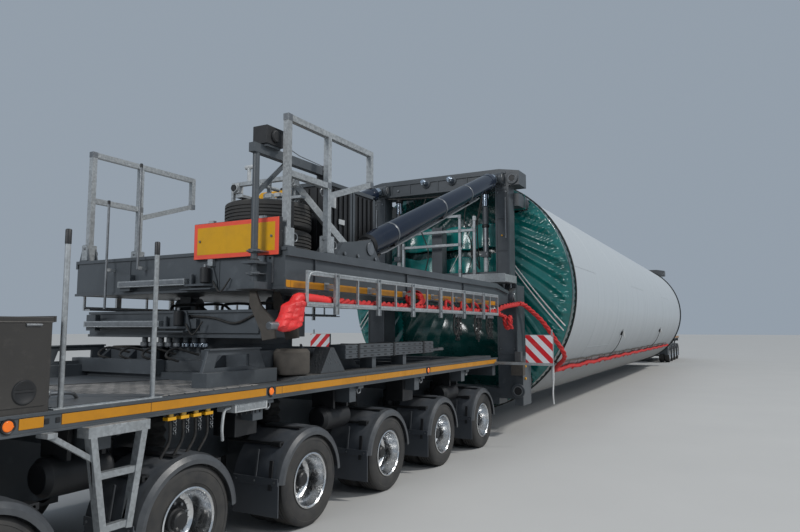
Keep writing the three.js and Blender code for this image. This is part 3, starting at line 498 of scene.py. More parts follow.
FLAT_FINISHES = {
    # A lighter copy of the guard plastic: painted highlight on the guards' rolled lips and ribs.
    "guard_edge": ((0.070, 0.076, 0.084), 0.32),
    "yellow_paint": ((0.80, 0.40, 0.01), 0.35),
    "black_parts": ((0.014, 0.015, 0.017), 0.45),
    "hub_dark": ((0.035, 0.036, 0.038), 0.4, 0.4),
    "white_parts": ((0.50, 0.52, 0.53), 0.4),
    "steel_parts": ((0.25, 0.262, 0.275), 0.32, 0.8),
    "brass_parts": ((0.62, 0.40, 0.10), 0.35, 0.7),
    "rope_white": ((0.66, 0.67, 0.66), 0.6),
    "lamp_amber": ((0.75, 0.14, 0.01), 0.15, 0.0, (1.0, 0.25, 0.02)),
    "wood_grey": ((0.085, 0.076, 0.066), 0.8),
}


def make_finishes(colours):
    for finish in (finish_adapter_grey, finish_deck_grey, finish_deck_grid, finish_galvanised, finish_tower_paint,
                   finish_cylinder, finish_wrap, finish_bag):
        finish(colours)
    for finish in (finish_alloy, finish_guard, finish_chrome, finish_marker):
        finish()
    # The flaps get a lighter copy of the sheet: painted light on flaps that hang in the mast's shade.
    # cover_shaded is a much darker copy of the sheet: painted shade for the skirt and for the face between the
    # uprights.
    for name, factor in (("cover_sheet", 1.0), ("cover_shaded", 0.25), ("cover_flap", 1.5)):
        finish_cover_sheet(name, shade(colours.cover, factor))
    finish_rubber("rubber", (0.026, 0.026, 0.027))
    finish_rubber("hose_black", (0.012, 0.012, 0.013), 3.0)
    for name, colour, pitch in (("stripe_yellow", colours.stripe, 1.35), ("sign_yellow", (0.68, 0.35, 0.002), 40.0),
                                ("sign_orange", (0.86, 0.095, 0.05), 40.0)):
        finish_stripe(name, colour, pitch)
    paint_steel("toolbox_grey", (0.042, 0.039, 0.036), 0.45, 0.4)
    for name, settings in FLAT_FINISHES.items():
        finish_flat(name, *settings)


# Shapes

class Shape:
    """Gathers the faces of one piece. Points are in metres in the frame that place puts in the row frame."""

    def __init__(self, place=Matrix()):
        self.place = place
        self.points = []
        self.faces = []
        self.face_finishes = []
        self.finishes = []

    def add(self, points, faces, finish):
        """finish is one name, or one for each face."""
        first = len(self.points)
        self.points.extend(points)
        names = [finish] * len(faces) if isinstance(finish, str) else finish
        for face, name in zip(faces, names):
            if name not in self.finishes:
                self.finishes.append(name)
            self.faces.append([first + corner for corner in face])
            self.face_finishes.append(self.finishes.index(name))

    def box(self, xs, ys, zs, finish=GREY):
        points = [(x, y, z) for x in sorted(xs) for y in sorted(ys) for z in sorted(zs)]
        self.add(points, BOX_FACES, finish)

    def bar(self, start, end, width, height, finish=GREY):
        """A bar of rectangular section between two points; height is measured towards +z."""
        start, end = Vector(start), Vector(end)
        along = (end - start).normalized()
        side = level_side(along)
        rise = side.cross(along)
        points = [base + side * (a * width / 2) + rise * (b * height / 2)
                  for base in (start, end) for a in SIDES for b in SIDES]
        self.add(points, BOX_FACES, finish)

    def plate(self, axis, outline, span, finish=GREY):
        """A plate of this outline across an axis, between two places on it."""
        order = {"x": (2, 0, 1), "y": (0, 2, 1), "z": (0, 1, 2)}[axis]
        count = len(outline)
        points = [tuple((a, b, place)[i] for i in order) for place in span for a, b in outline]
        self.add(points, caps(2 * count, count) + quads(2, count), finish)

    def turned(self, profile, centre, axis, finish, sides=32):
        """A body of revolution from (radius, height) points. finish is one name, or one for each stretch."""
        turn = Vector((0, 0, 1)).rotation_difference(Vector(axis)).to_matrix()
        names = [finish] * (len(profile) - 1) if isinstance(finish, str) else finish
        points = [Vector(centre) + turn @ Vector((radius * cos(angle), radius * sin(angle), height))
                  for radius, height in profile for angle in bearings(sides)]
        self.add(points, quads(len(profile), sides), [name for name in names for _ in range(sides)])

    def rod(self, start, end, radius, finish=STEEL, sides=16):
        start, end = Vector(start), Vector(end)
        length = (end - start).length
        chamfer = min(radius * 0.18, length * 0.2)
        profile = [(0, 0), (radius - chamfer, 0), (radius, chamfer), (radius, length - chamfer),
                   (radius - chamfer, length), (0, length)]
        self.turned(profile, start, (end - start).normalized(), finish, sides)

    def pin(self, axis, place, ends, radius, finish=STEEL, sides=16):
        """A rod along an axis, from its place across that axis and its two ends on it."""
        k = "xyz".index(axis)
        self.rod(*((*place[:k], end, *place[k:]) for end in ends), radius, finish, sides)

    def tube(self, path, radius, finish, sides=10):
        """A round tube along points."""
        path = [Vector(p) for p in path]
        points = []
        for here, side, rise in carried(path):
            points += [here + (side * cos(angle) + rise * sin(angle)) * radius for angle in bearings(sides)]
        self.add(points, quads(len(path), sides) + caps(len(points), sides), finish)

    def hose(self, path, radius, finish="hose_black", steps=6, sides=8):
        self.tube(smooth(path, steps), radius, finish, sides)

    def bolts(self, places, axis, radius, finish=STEEL):
        for place in places:
            self.turned([(0, 0), (radius, 0), (radius, radius * 0.8), (0, radius * 0.8)], place, axis, finish, 6)

    def ring(self, centre, axis, radius, thick, finish=STEEL, sides=24):
        """A round ring, such as a link or an eye."""
        section = [(radius + thick * cos(angle), thick * sin(angle)) for angle in bearings(8, 1)]
        self.turned(section, centre, axis, finish, sides)

    def mesh(self, name, angle=38.0):
        """Welds what meets, drops loose points, turns every face outward and keeps only real edges sharp."""
        mesh = bpy.data.meshes.new(name)
        mesh.from_pydata([self.place @ Vector(p) for p in self.points], [], self.faces)
        for finish in self.finishes:
            mesh.materials.append(finished(finish))
        mesh.polygons.foreach_set("material_index", self.face_finishes)
        work = bmesh.new()
        work.from_mesh(mesh)
        bmesh.ops.delete(work, geom=[v for v in work.verts if not v.link_faces], context="VERTS")
        bmesh.ops.remove_doubles(work, verts=work.verts, dist=1e-5)
        bmesh.ops.recalc_face_normals(work, faces=work.faces)
        work.to_mesh(mesh)
        work.free()
        mesh.shade_smooth()
        mesh.set_sharp_from_angle(angle=radians(angle))
        return mesh

    def build(self, name, body, replaces=(), edge=0.004, angle=38.0):
        piece = add_piece(name, self.mesh(name, angle), body, replaces)
        if edge:
            round_edges(piece, edge)
        return piece


BOX_FACES = ((0, 1, 3, 2), (4, 6, 7, 5), (0, 4, 5, 1), (2, 3, 7, 6), (0, 2, 6, 4), (1, 5, 7, 3))


def link(name, data):
    made = bpy.data.objects.new(name, data)
    bpy.context.scene.collection.objects.link(made)
    return made


def aim(thing, direction):
    thing.rotation_euler = Vector(direction).to_track_quat("-Z", "Y").to_euler()


def add_piece(name, mesh, body, replaces=(), place=Matrix()):
    piece = link(name, mesh)
    piece.matrix_world = place
    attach(piece, body)
    if replaces:
        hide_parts(*replaces)
    return piece


def quads(rows, columns, closed=True):
    """Faces between rows of points; closed joins the end of each row to its start."""
    return [(i * columns + k, i * columns + (k + 1) % columns, (i + 1) * columns + (k + 1) % columns,
             (i + 1) * columns + k) for i in range(rows - 1) for k in range(columns if closed else columns - 1)]


def caps(count, columns):
    """The faces that close the first and the last row of count points."""
    return [list(range(columns)), list(range(count - 1, count - 1 - columns, -1))]


def about(place, reach):
    return (place - reach, place + reach)


def spaced(start, pitch, count):
    return [start + i * pitch for i in range(count)]


def middles(low, high, count):
    """The middles of equal stretches between two ends."""
    return [low + (high - low) * (i + 0.5) / count for i in range(count)]


def bearings(count, more=0):
    """The angles that divide a full turn, and as many more as asked for."""
    return [tau * i / count for i in range(count + more)]


def axles(unit):
    return spaced(FIRST_AXLE[unit], AXLE_PITCH, AXLES[unit])


def level_side(along):
    side = along.cross(Vector((0, 0, 1)))
    return side.normalized() if side.length > 1e-3 else Vector((0, 1, 0))


def carried(path):
    """Each point of a path with two directions across it, which turn as little as they can."""
    side = None
    for i, here in enumerate(path):
        ahead = (path[min(i + 1, len(path) - 1)] - path[max(i - 1, 0)]).normalized()
        side = side or level_side(ahead)
        side = (side - ahead * side.dot(ahead)).normalized()
        yield here, side, side.cross(ahead)


def round_edges(piece, width, angle=40.0):
    edge = piece.modifiers.new("edge", "BEVEL")
    edge.width = width
    edge.segments = 1
    edge.limit_method = "ANGLE"
    edge.angle_limit = radians(angle)
    edge.use_clamp_overlap = True
    edge.harden_normals = True


def smooth(points, steps):
    """A Catmull-Rom curve through the points."""
    points = [Vector(p) for p in points]
    ends = [points[0] * 2 - points[1], *points, points[-1] * 2 - points[-2]]
    curve = []
    for a, b, c, d in zip(ends, ends[1:], ends[2:], ends[3:]):
        for step in range(steps):
            t = step / steps
            curve.append(0.5 * (2 * b + (c - a) * t + (2 * a - 5 * b + 4 * c - d) * t * t
                                + (3 * b - a - 3 * c + d) * t ** 3))
    return curve + [points[-1]]


def resample(path, pitch):
    """Points an even distance apart along a path."""
    out = [path[0]]
    left = pitch
    for a, b in zip(path, path[1:]):
        length = (b - a).length
        done = 0.0
        while length - done > left:
            done += left
            out.append(a.lerp(b, done / length))
            left = pitch
        left -= length - done
    return out + [path[-1]]


def sagging(start, end, drop, count=9):
    """A line between two points that hangs by drop in the middle."""
    start, end = Vector(start), Vector(end)
    return [start.lerp(end, i / count) - Vector((0, 0, drop * 4 * (i / count) * (1 - i / count)))
            for i in range(count + 1)]


def span(side, near, far):
    return sorted((side * near, side * far))


# CAD nodes that keep their own shape

KEPT_FINISH = {"rear_deck": "deck_grey", "sign_board": "black_parts", "power_pack": "black_parts",
               "marker_right": "galvanised", "marker_left": "galvanised", "stanchions": "galvanised",
               "toolbox": "toolbox_grey", "plank_stack": "adapter_grey"}
SLOT_FINISH = {"red_hose": "red_wrap", "marker_foil": "marker_stripes"}


def dress_nodes(edge):
    slots = {row["node"]: row["material_slot"] for row in frame["record"]["subparts"]}
    for name, node in frame["nodes"].items():
        mesh = node.data
        if "custom_normal" in mesh.attributes:
            mesh.attributes.remove(mesh.attributes["custom_normal"])
        mesh.materials.clear()
        mesh.materials.append(finished(KEPT_FINISH.get(name, SLOT_FINISH.get(slots[name], slots[name]))))
        mesh.shade_smooth()
        weld = node.modifiers.new("weld", "WELD")
        weld.merge_threshold = 1e-4
        round_edges(node, edge, 32.0)


# The tower section

def make_tower(sizes):
    """Rolled rings with a weld bead at each joint, a lengthways bead on each ring and a flange at both ends."""
    low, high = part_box("tower_shell")
    middle = (low.x + high.x) / 2
    half = (high.x - low.x) / 2
    inside = sizes.radius - sizes.wall
    flange, depth = 1.9, 0.11
    bead, rise = 0.016, 0.0035
    outer = [(sizes.radius, -half)]
    ring = 2 * half / (sizes.seams + 1)
    for i in range(1, sizes.seams + 1):
        x = -half + i * ring
        outer += [(sizes.radius, x - bead), (sizes.radius + rise, x - bead / 3),
                  (sizes.radius + rise, x + bead / 3), (sizes.radius, x + bead)]
    outer.append((sizes.radius, half))
    inner = [(flange, half), (flange, half - depth), (inside, half - depth), (inside, depth - half),
             (flange, depth - half), (flange, -half), (sizes.radius, -half)]
    shape = Shape(Matrix.Translation((middle, 0, sizes.axis_z)))
    shape.turned(outer + inner, (0, 0, 0), (1, 0, 0), "tower_paint", 160)
    for i in range(sizes.seams + 1):
        angle = radians(-12 + 41 * (i % 3) - 180)
        for turn in (angle, angle + pi * 0.83):
            radius = sizes.radius + 0.001
            y, z = radius * cos(turn), radius * sin(turn)
            x = -half + i * ring
            shape.pin("x", (y, z), (x + 0.01, x + ring - 0.01), 0.0045, "tower_paint", 8)
    shape.build("tower_skin", "load", ["tower_shell"], edge=0, angle=10)


def make_ties(sizes):
    """White rags on magnets, each with a rope tail that holds the red line to the shell."""
    shape = Shape(REAR)
    for x, z in ((11.6, 1.62), (19.4, 1.66)):
        y = -sqrt(sizes.radius ** 2 - (sizes.axis_z - z) ** 2)
        out = Vector((0, y, z - sizes.axis_z)).normalized()
        base = Vector((x, y, z))
        knot = base + out * 0.05
        shape.rod(base, base + out * 0.045, 0.055, BLACK, 20)
        shape.ring(knot, out, 0.035, 0.012, "rope_white")
        for k in range(5):
            tip = knot + Vector((0.05 * cos(k * 1.3), -0.02, 0.05 * sin(k * 1.3)))
            shape.hose([knot, tip, tip + Vector((0.02 * k - 0.04, -0.01, -0.06))], 0.009, "rope_white", 4, 6)
        low = Vector((x - 0.1, -sqrt(sizes.radius ** 2 - (sizes.axis_z - 1.02) ** 2) - 0.03, 1.02))
        shape.hose([base + out * 0.04, base.lerp(low, 0.5) + out * 0.07, low], 0.008, "hose_black", 6, 6)
        shape.hose([base + out * 0.04 + Vector((0, 0, 0.03)), base + Vector((0.25, 0, 0.18)) + out * 0.02,
                    base + Vector((0.3, 0, 0.32)) - out * 0.01], 0.006, "hose_black", 6, 6)
    shape.build("line_ties", "load", edge=0)


# The sheeted ends

def fold_height(y, z, radius, angle, sizes, seed):
    """How far the sheet stands out at a point of the face: sharp folds that run outward and down from high on the
    other side, gathers at the hem, and slack between the uprights."""
    outward = smoothstep(0.8, 1.4, abs(y))
    turn = atan2(4.87 - z, abs(y) + 1.1)
    wander = noise.noise(Vector((y * 0.7, z * 0.7, seed))) * 0.035
    wave = (turn + wander) * sizes.folds / pi + 0.5 * noise.noise(Vector((turn * 4, seed, 0.0)))
    weight = 0.6 + 0.6 * noise.noise(Vector((turn * 11.0, seed, radius * 0.6)))
    flat_rim = 1 - smoothstep(2.05, 2.13, radius)
    height = sizes.fold * ridge(wave) * weight * flat_rim * (0.25 + 0.75 * outward)
    height += 0.35 * sizes.fold * ridge(wave * 2.37) * (1 - weight) * flat_rim * outward
    gather = ridge(angle * sizes.gathers / tau + 0.8 * noise.noise(Vector((angle * 6, seed, 9.0))))
    near_rim = smoothstep(1.75, 2.02, radius) * (1 - smoothstep(2.09, 2.14, radius))
    height += sizes.gather * gather * near_rim
    slack = sin((z + 0.22 * y * y) * 9.0 + 2.5 * noise.noise(Vector((y * 0.6, z * 0.6, seed))))
    height += 0.02 * slack * (1 - outward) * flat_rim
    return height + 0.03 * noise.noise(Vector((y * 1.3, z * 1.3, seed + 5))) * flat_rim


def ridge(value):
    """A wave between 0 and 1 with sharp tops and wide bottoms."""
    part = value % 1
    return (1 - abs(2 * part - 1)) ** 1.5


def smoothstep(low, high, value):
    t = max(0.0, min(1.0, (value - low) / (high - low)))
    return t * t * (3 - 2 * t)


def make_cover(unit, sizes, tower):
    """One sheet from the middle of the face to the hem on the shell, with openings for the four clamps."""
    seed = {"rear": 1.7, "front": 8.3}[unit]
    face = FLANGE_X - 0.012
    rim = tower.radius + 0.016
    radii = [rim * (i / sizes.rings) ** 0.72 for i in range(1, sizes.rings + 1)]
    points = []
    levels = len(radii) + 6
    for angle in bearings(sizes.spokes):
        for radius in radii:
            y, z = radius * cos(angle), tower.axis_z + radius * sin(angle)
            drawn = sizes.draw * (1 - smoothstep(0.9, rim, radius))
            out = fold_height(y, z, radius, angle, sizes, seed)
            points.append((face - drawn - max(0.0, out), y, z))
        for share in (step / 6 for step in range(1, 7)):
            ripple = 0.5 * (1 + sin(angle * sizes.gathers)) * 0.012 * share
            reach = rim + 0.002 + ripple * sin(pi * share * 0.9)
            points.append((face + sizes.skirt * share, reach * cos(angle), tower.axis_z + reach * sin(angle)))
    count = len(points)
    faces = [[corner % count for corner in quad] for quad in quads(sizes.spokes + 1, levels, False)]
    points.append((face - sizes.draw - 0.02, 0, tower.axis_z))
    faces += [(count, (k + 1) % sizes.spokes * levels, k * levels) for k in range(sizes.spokes)]
    kept = [corners for corners in faces if not any(in_clamp(points[corner]) for corner in corners)]
    names = []
    for corners in kept:
        x, y = (sum(points[corner][axis] for corner in corners) / len(corners) for axis in (0, 1))
        # The skirt over the shell and the face between the uprights get the darker copy: painted shade.
        names.append("cover_shaded" if x > face + 0.01 or abs(y) < 1.0 else "cover_sheet")
    shape = Shape(UNITS[unit])
    shape.add(points, kept, names)
    piece = shape.build(f"{unit}_sheet", "load", [f"{unit}_cover"], edge=0, angle=180)
    piece.modifiers.new("thick", "SOLIDIFY").thickness = 0.002


def in_clamp(point):
    x, y, z = point
    return x < FLANGE_X and abs(abs(y) - CLAMP_Y) < 0.165 and min(abs(z - c) for c in CLAMP_LEVELS) < 0.125


def make_cover_ropes(unit, tower):
    """The hem rope, the lashings that cross the face and the pinch ropes round the clamps."""
    shape = Shape(UNITS[unit])
    rim = tower.radius + 0.032
    circle = [(FLANGE_X + 0.24, rim * cos(a), tower.axis_z + rim * sin(a)) for a in bearings(90, 1)]
    shape.tube(circle, 0.013, "hose_black", 6)
    for side in SIDES:
        for y0, z0, y1, z1 in ((1.19, 2.9, 2.05, 1.78), (1.19, 2.81, 2.02, 1.7), (1.5, 1.42, 1.72, 1.18)):
            line = sagging((5.63, side * y0, z0), (5.81, side * y1, z1), 0.03)
            shape.tube(line, 0.0115, "rope_white", 6)
        for level in CLAMP_LEVELS:
            corners = [(5.66, side * (CLAMP_Y + dy), level + dz)
                       for dy, dz in ((-0.17, -0.12), (-0.17, 0.12), (0.17, 0.12), (0.17, -0.12), (-0.17, -0.12))]
            shape.tube(corners, 0.016, "cover_sheet", 8)
    shape.build(f"{unit}_sheet_ropes", "load", edge=0)


def make_flaps():
    """Two loose sheets that hang between the rear uprights, in front of the face."""
    sizes = {"upper_flap": (3.62, 3.18, 5.60), "lower_flap": (3.06, 2.72, 5.57)}
    columns, rows = 60, 14
    for index, (name, (top, bottom, x)) in enumerate(sizes.items()):
        points = []
        for i in range(columns + 1):
            y = -1.0 + 2.0 * i / columns
            sag = 0.05 * cos(y * 1.4) + 0.02 * sin(y * 11 + index)
            for share in (k / rows for k in range(rows + 1)):
                z = top + (bottom - top) * share - sag * (1 - 0.4 * share)
                out = 0.02 * sin(y * 17 + index) * share + 0.015 * noise.noise(Vector((y * 4, z * 4, index)))
                points.append((x - 0.02 * share - out, y, z))
        shape = Shape(REAR)
        # The flaps' lighter copy of the sheet is painted light.
        shape.add(points, quads(columns + 1, rows + 1, False), "cover_flap")
        piece = shape.build(name, "load", edge=0, angle=180)
        thick = piece.modifiers.new("thick", "SOLIDIFY")
        thick.thickness, thick.offset = 0.002, 1


# The masts

def make_mast_trim(unit):
    """Edge strips, ribs, bolts, pivots and foot blocks of both uprights, and the top beam's trim."""
    shape = Shape(UNITS[unit])
    back = MAST_BACK
    lift_x, lift_z = LIFT_PIVOT
    for side in SIDES:
        for (near, far), low, high, ribs in ((MAST_Y, 1.3, STEP_Z - 0.01, (1.32, 1.9, 2.43)),
                                             (SLIM_Y, STEP_Z + 0.02, 4.14, (2.5, 3.05, 3.6, 4.1))):
            for y in (near + 0.012, far - 0.012):
                shape.box((back - 0.014, back + 0.01), span(side, y - 0.012, y + 0.012), (low, high))
            for z in ribs:
                shape.box((back - 0.012, back + 0.01), span(side, near + 0.02, far - 0.02), about(z, 0.01))
            shape.bolts([(back - 0.01, side * y, z) for y in (near + 0.05, far - 0.05)
                         for z in (low + 0.1, high - 0.1)], (-1, 0, 0), 0.016)
        shape.plate("x", [(side * 1.3, 2.44), (side * 1.43, 2.44), (side * 1.3, 2.66)], (back + 0.02, back + 0.05))
        shape.box((back - 0.018, back + 0.01), span(side, 1.25, 1.272), (3.25, 3.95), STEEL)
        shape.pin("x", (side * 1.19, 3.3), (back - 0.02, back), 0.014, "yellow_paint", 12)
        for face, y, z, radius in ((back, 1.384, 4.26, 0.1), (back - 0.03, 1.443, 0.724, 0.115)):
            shape.pin("x", (side * y, z), (face + 0.005, face - 0.035), radius, GREY, 32)
            shape.pin("x", (side * y, z), (face - 0.03, face - 0.038), radius * 0.55, BLACK, 28)
            shape.ring((face - 0.036, side * y, z), (1, 0, 0), radius * 0.62, 0.007, sides=28)
        for z in (1.12, 0.92):
            shape.pin("y", (back + 0.07, z), (side * 1.52, side * 1.545), 0.022, "yellow_paint", 14)
        shape.box((4.98, 5.1), span(side, 1.36, 1.56), (0.98, 1.2), "wood_grey")
        shape.box((5.0, 5.1), span(side, 1.42, 1.52), (1.2, 1.36), STEEL)
        shape.pin("y", (lift_x, lift_z), (side * 1.43, side * 1.452), 0.07, sides=24)
        head_x, _, head_z = CYLINDER_HEAD
        for y in about(CYLINDER_Y, 0.13):
            out = side * (y + (0.012 if y > CYLINDER_Y else -0.012))
            shape.pin("y", (head_x, head_z), (side * y, out), 0.062, sides=24)
    make_top_beam_trim(shape)
    shape.build(f"{unit}_mast_trim", "load")


def make_top_beam_trim(shape):
    """Cover strips, webs and two bright stop pins on the back of the top beam."""
    back = MAST_BACK
    top = MAST_TOP
    for z in (BEAM_Z + 0.015, top - 0.075):
        shape.box((back - 0.022, back + 0.01), (-1.27, 1.27), about(z, 0.014))
    for y in (-0.93, -0.56, 0.0, 0.56, 0.93):
        shape.box((back - 0.016, back + 0.01), about(y, 0.01), (BEAM_Z + 0.02, top - 0.08))
    for y in (-0.28, 0.23):
        shape.pin("x", (y, 4.34), (back - 0.03, back + 0.01), 0.085, GREY, 28)
        shape.pin("x", (y, 4.34), (back - 0.15, back - 0.02), 0.052, "chrome", 28)
        shape.pin("x", (y, 4.34), (back - 0.19, back - 0.14), 0.03, "chrome", 20)
    for y in (-0.75, 0.8):
        shape.pin("x", (y, 4.26), (back - 0.025, back - 0.01), 0.02, sides=12)
    shape.tube(sagging((back - 0.04, -1.0, 4.12), (back - 0.04, 1.0, 4.12), 0.05), 0.012, "hose_black", 8)


def make_mast_fittings():
    """What hangs on the rear mast: the two screw columns in their stretches of metal, their clamps and cables."""
    shape = Shape(REAR)
    x = MAST_BACK + 0.13
    for side in SIDES:
        y = side * 0.85
        for z0, z1, radius, finish in ((2.702, 2.98, 0.04, WHITE), (3.02, 3.5, 0.05, STEEL),
                                       (3.5, 3.84, 0.054, GREY), (3.84, 4.08, 0.058, "chrome"),
                                       (3.47, 3.53, 0.064, BLACK), (4.05, 4.145, 0.07, BLACK)):
            shape.pin("z", (x, y), (z0, z1), radius, finish, 28)
        shape.box((x - 0.08, x + 0.07), about(y, 0.07), (2.96, 3.05))
        shape.bolts([(x - 0.08, y + dy, 3.005) for dy in (-0.045, 0.045)], (-1, 0, 0), 0.014)
        for k in range(3):
            start = (x - 0.07, y - 0.03 * side, 4.08 - 0.1 * k)
            mid = (x - 0.14 - 0.03 * k, y - side * (0.1 + 0.05 * k), 3.5 - 0.2 * k)
            shape.hose([start, mid, (x - 0.04, y - side * 0.1, 2.75)], 0.01)
    make_standing_detail(shape)
    shape.build("rear_mast_fittings", "load", ["mast_column_right", "mast_column_left"])


def make_standing_detail(shape):
    """Toe edges, tube clamps, a lamp, a thin line and cables of the two standing places."""
    back = MAST_BACK
    x = back - 0.08
    for y0, y1, z in ((-1.43, -0.70, 2.60), (0.12, 0.77, 2.70)):
        shape.box((back - 0.581, back - 0.569), (y0, y1), (z - 0.13, z + 0.012), ZINC)
        for y in middles(y0, y1, 8):
            shape.box((back - 0.56, back - 0.06), about(y, 0.004), (z, z + 0.006), STEEL)
    for y, levels in ((-0.722, (2.7, 3.42)), (-0.455, (2.72, 3.18, 3.42, 3.66)), (0.65, (2.78, 3.18))):
        for z in levels:
            shape.box(about(x, 0.028), about(y, 0.028), about(z, 0.03), STEEL)
    shape.pin("z", (x, -0.722), (3.58, 3.66), 0.034, WHITE, 18)
    shape.tube(sagging((x, -0.722, 3.56), (x + 0.02, -0.25, 2.72), 0.02), 0.007, "rope_white", 6)
    for y, z in ((-0.2, 3.18), (0.3, 3.42)):
        shape.pin("y", (x, z), (y, y + 0.22), 0.026, WHITE, 14)
    for k in (0, 3):
        y = -0.62 + 0.28 * k
        shape.hose([(back - 0.02, y, 4.1), (back - 0.06 - 0.02 * k, y + 0.09, 3.6), (back - 0.05, y - 0.05, 3.1),
                    (back + 0.02, y + 0.06, 2.68)], 0.009 + 0.002 * (k % 2))
    for y in spaced(-1.36, 0.12, 4):
        shape.pin("z", (back - 0.1, y), (2.4, 2.482), 0.017, sides=12)
        shape.hose([(back - 0.1, y, 2.41), (back - 0.16, y + 0.03, 2.28), (back - 0.02, y + 0.02, 2.1)], 0.01)


# Lift cylinders

def make_lift_cylinders(unit):
    """A barrel with bands, a port block and hard pipes, and the bright rod with its eye, on both sides."""
    axis = (CYLINDER_HEAD - CYLINDER_FOOT).normalized()
    length = (CYLINDER_HEAD - CYLINDER_FOOT).length
    barrel_end = length - 0.33
    normal = Vector((-axis.z, 0, axis.x))
    for hand, side in HANDS.items():
        label = hand if unit == "rear" else {"right": "left", "left": "right"}[hand]
        foot = Vector((CYLINDER_FOOT.x, side * CYLINDER_Y, CYLINDER_FOOT.z))

        def at(along, up=0.0, out=0.0):
            return foot + axis * along + normal * up + Vector((0, side * out, 0))

        barrel = Shape(UNITS[unit])
        body = [(0, 0.17), (0.105, 0.17), (0.128, 0.2), (0.128, 0.44), (0.13, 0.45), (0.13, barrel_end - 0.14),
                (0.136, barrel_end - 0.13), (0.136, barrel_end - 0.01), (0.125, barrel_end), (0.0895, barrel_end),
                (0.0895, barrel_end - 0.2), (0, barrel_end - 0.2)]
        finishes = [BLACK] * 2 + ["cylinder_paint"] * 8 + [BLACK]
        barrel.turned(body, foot, axis, finishes, 56)
        band = [(0.128, -0.014), (0.135, -0.014), (0.135, 0.014), (0.128, 0.014)]
        for along in (0.736, 2.2, 3.22):
            barrel.turned(band, at(along), axis, STEEL, 48)
            clamp = at(along, -0.136)
            barrel.bar(clamp - axis * 0.03, clamp + axis * 0.03, 0.12, 0.035, BLACK)
        barrel.pin("y", (foot.x, foot.z), about(foot.y, 0.08), 0.088, GREY, 32)
        barrel.bar(at(0.02), at(0.2), 0.15, 0.14)
        for out in (-0.045, 0.0, 0.045):
            pipe = [at(0.36, -0.15, out), at(0.5, -0.163, out), at(3.5, -0.163, out), at(3.66, -0.15, out)]
            barrel.tube(pipe, 0.011, STEEL, 8)
        barrel.hose([at(0.38, -0.15, 0.02), at(0.22, -0.2, 0.05), at(0.05, -0.19, 0.09),
                     at(-0.2, -0.13, 0.05)], 0.014)
        barrel.build(f"{unit}_lift_barrel_dressed_{label}", f"{unit}_lift_barrels",
                     [f"{unit}_lift_barrel_{label}"], edge=0.003, angle=30)

        rod = Shape(UNITS[unit])
        rod.turned([(0, barrel_end - 0.5), (0.088, barrel_end - 0.5), (0.088, length - 0.13), (0, length - 0.13)],
                   foot, axis, "chrome", 56)
        rod.turned([(0.0885, barrel_end + 0.002), (0.112, barrel_end + 0.002), (0.108, barrel_end + 0.02),
                    (0.0885, barrel_end + 0.022)], foot, axis, BLACK, 40)
        head = at(length)
        rod.turned(eye_profile(0.053, 0.086, 0.16), head + Vector((0, -0.08, 0)), (0, 1, 0), GREY, 32)
        rod.bar(at(length - 0.15), at(length - 0.062), 0.15, 0.118)
        rod.build(f"{unit}_lift_rod_dressed_{label}", f"{unit}_lift_rods",
                  [f"{unit}_lift_rod_{label}"], edge=0.002, angle=30)


def eye_profile(bore, radius, width):
    return [(bore, 0), (radius - 0.006, 0), (radius, 0.006), (radius, width - 0.006), (radius - 0.006, width),
            (bore, width), (bore, 0)]


# The adapter platforms

def make_platform_trim(unit):
    """Flange lips, ribs, the yellow side stripe, rear face seams and pin caps."""
    shape = Shape(UNITS[unit])
    back = PLATFORM_BACK
    bottom, top = PLATFORM_Z
    half = PLATFORM_HALF
    tip = 4.82
    for side in SIDES:
        shape.plate("y", [(back, top - 0.075), (4.28, top - 0.075), (tip, top - 0.14), (tip, top - 0.1),
                          (4.28, top), (back, top)], span(side, half - 0.02, half + 0.032))
        shape.box((back, 4.28), span(side, half - 0.02, half + 0.012), about(bottom, 0.006))
        shape.box((back + 0.01, 4.26), span(side, half, half + 0.006), (bottom + 0.01, bottom + 0.072),
                  "stripe_yellow")
        for x in (-0.45, 1.32, 2.98):
            shape.box(about(x, 0.007), span(side, half - 0.01, half + 0.02), (bottom + 0.08, top - 0.07))
        foot_x, _, foot_z = CYLINDER_FOOT
        for y in about(CYLINDER_Y, 0.14):
            sign = 1 if y > CYLINDER_Y else -1
            shape.pin("y", (foot_x, foot_z), (side * y, side * (y + sign * 0.014)), 0.07, sides=24)
            shape.bolts([(foot_x + dx, side * (y + sign * 0.004), foot_z + dz)
                         for dx, dz in ((-0.5, -0.1), (-0.25, -0.1), (0.1, -0.1))], (0, side * sign, 0), 0.02)
        shape.box((foot_x - 0.68, foot_x + 0.28), span(side, *about(CYLINDER_Y, 0.2)), (top - 0.002, top + 0.02))
    for y in (-0.62, 0.55):
        shape.box((back - 0.008, back + 0.01), about(y, 0.006), (bottom + 0.01, top - 0.01))
    for zs in ((top - 0.028, top + 0.004), (bottom - 0.008, bottom + 0.016)):
        shape.box((back - 0.014, back + 0.01), about(0, half + 0.012), zs)
    for x in (back + 0.04, -0.5):
        shape.plate("x", [(-1.0, bottom), (-1.06, 1.95), (-1.22, 1.8), (-1.23, 1.66), (-1.09, 1.64), (-1.07, 1.72),
                          (-0.94, 1.95), (-0.94, bottom)], (x, x + 0.025), "wood_grey")
    shape.build(f"{unit}_platform_trim", f"{unit}_platform")


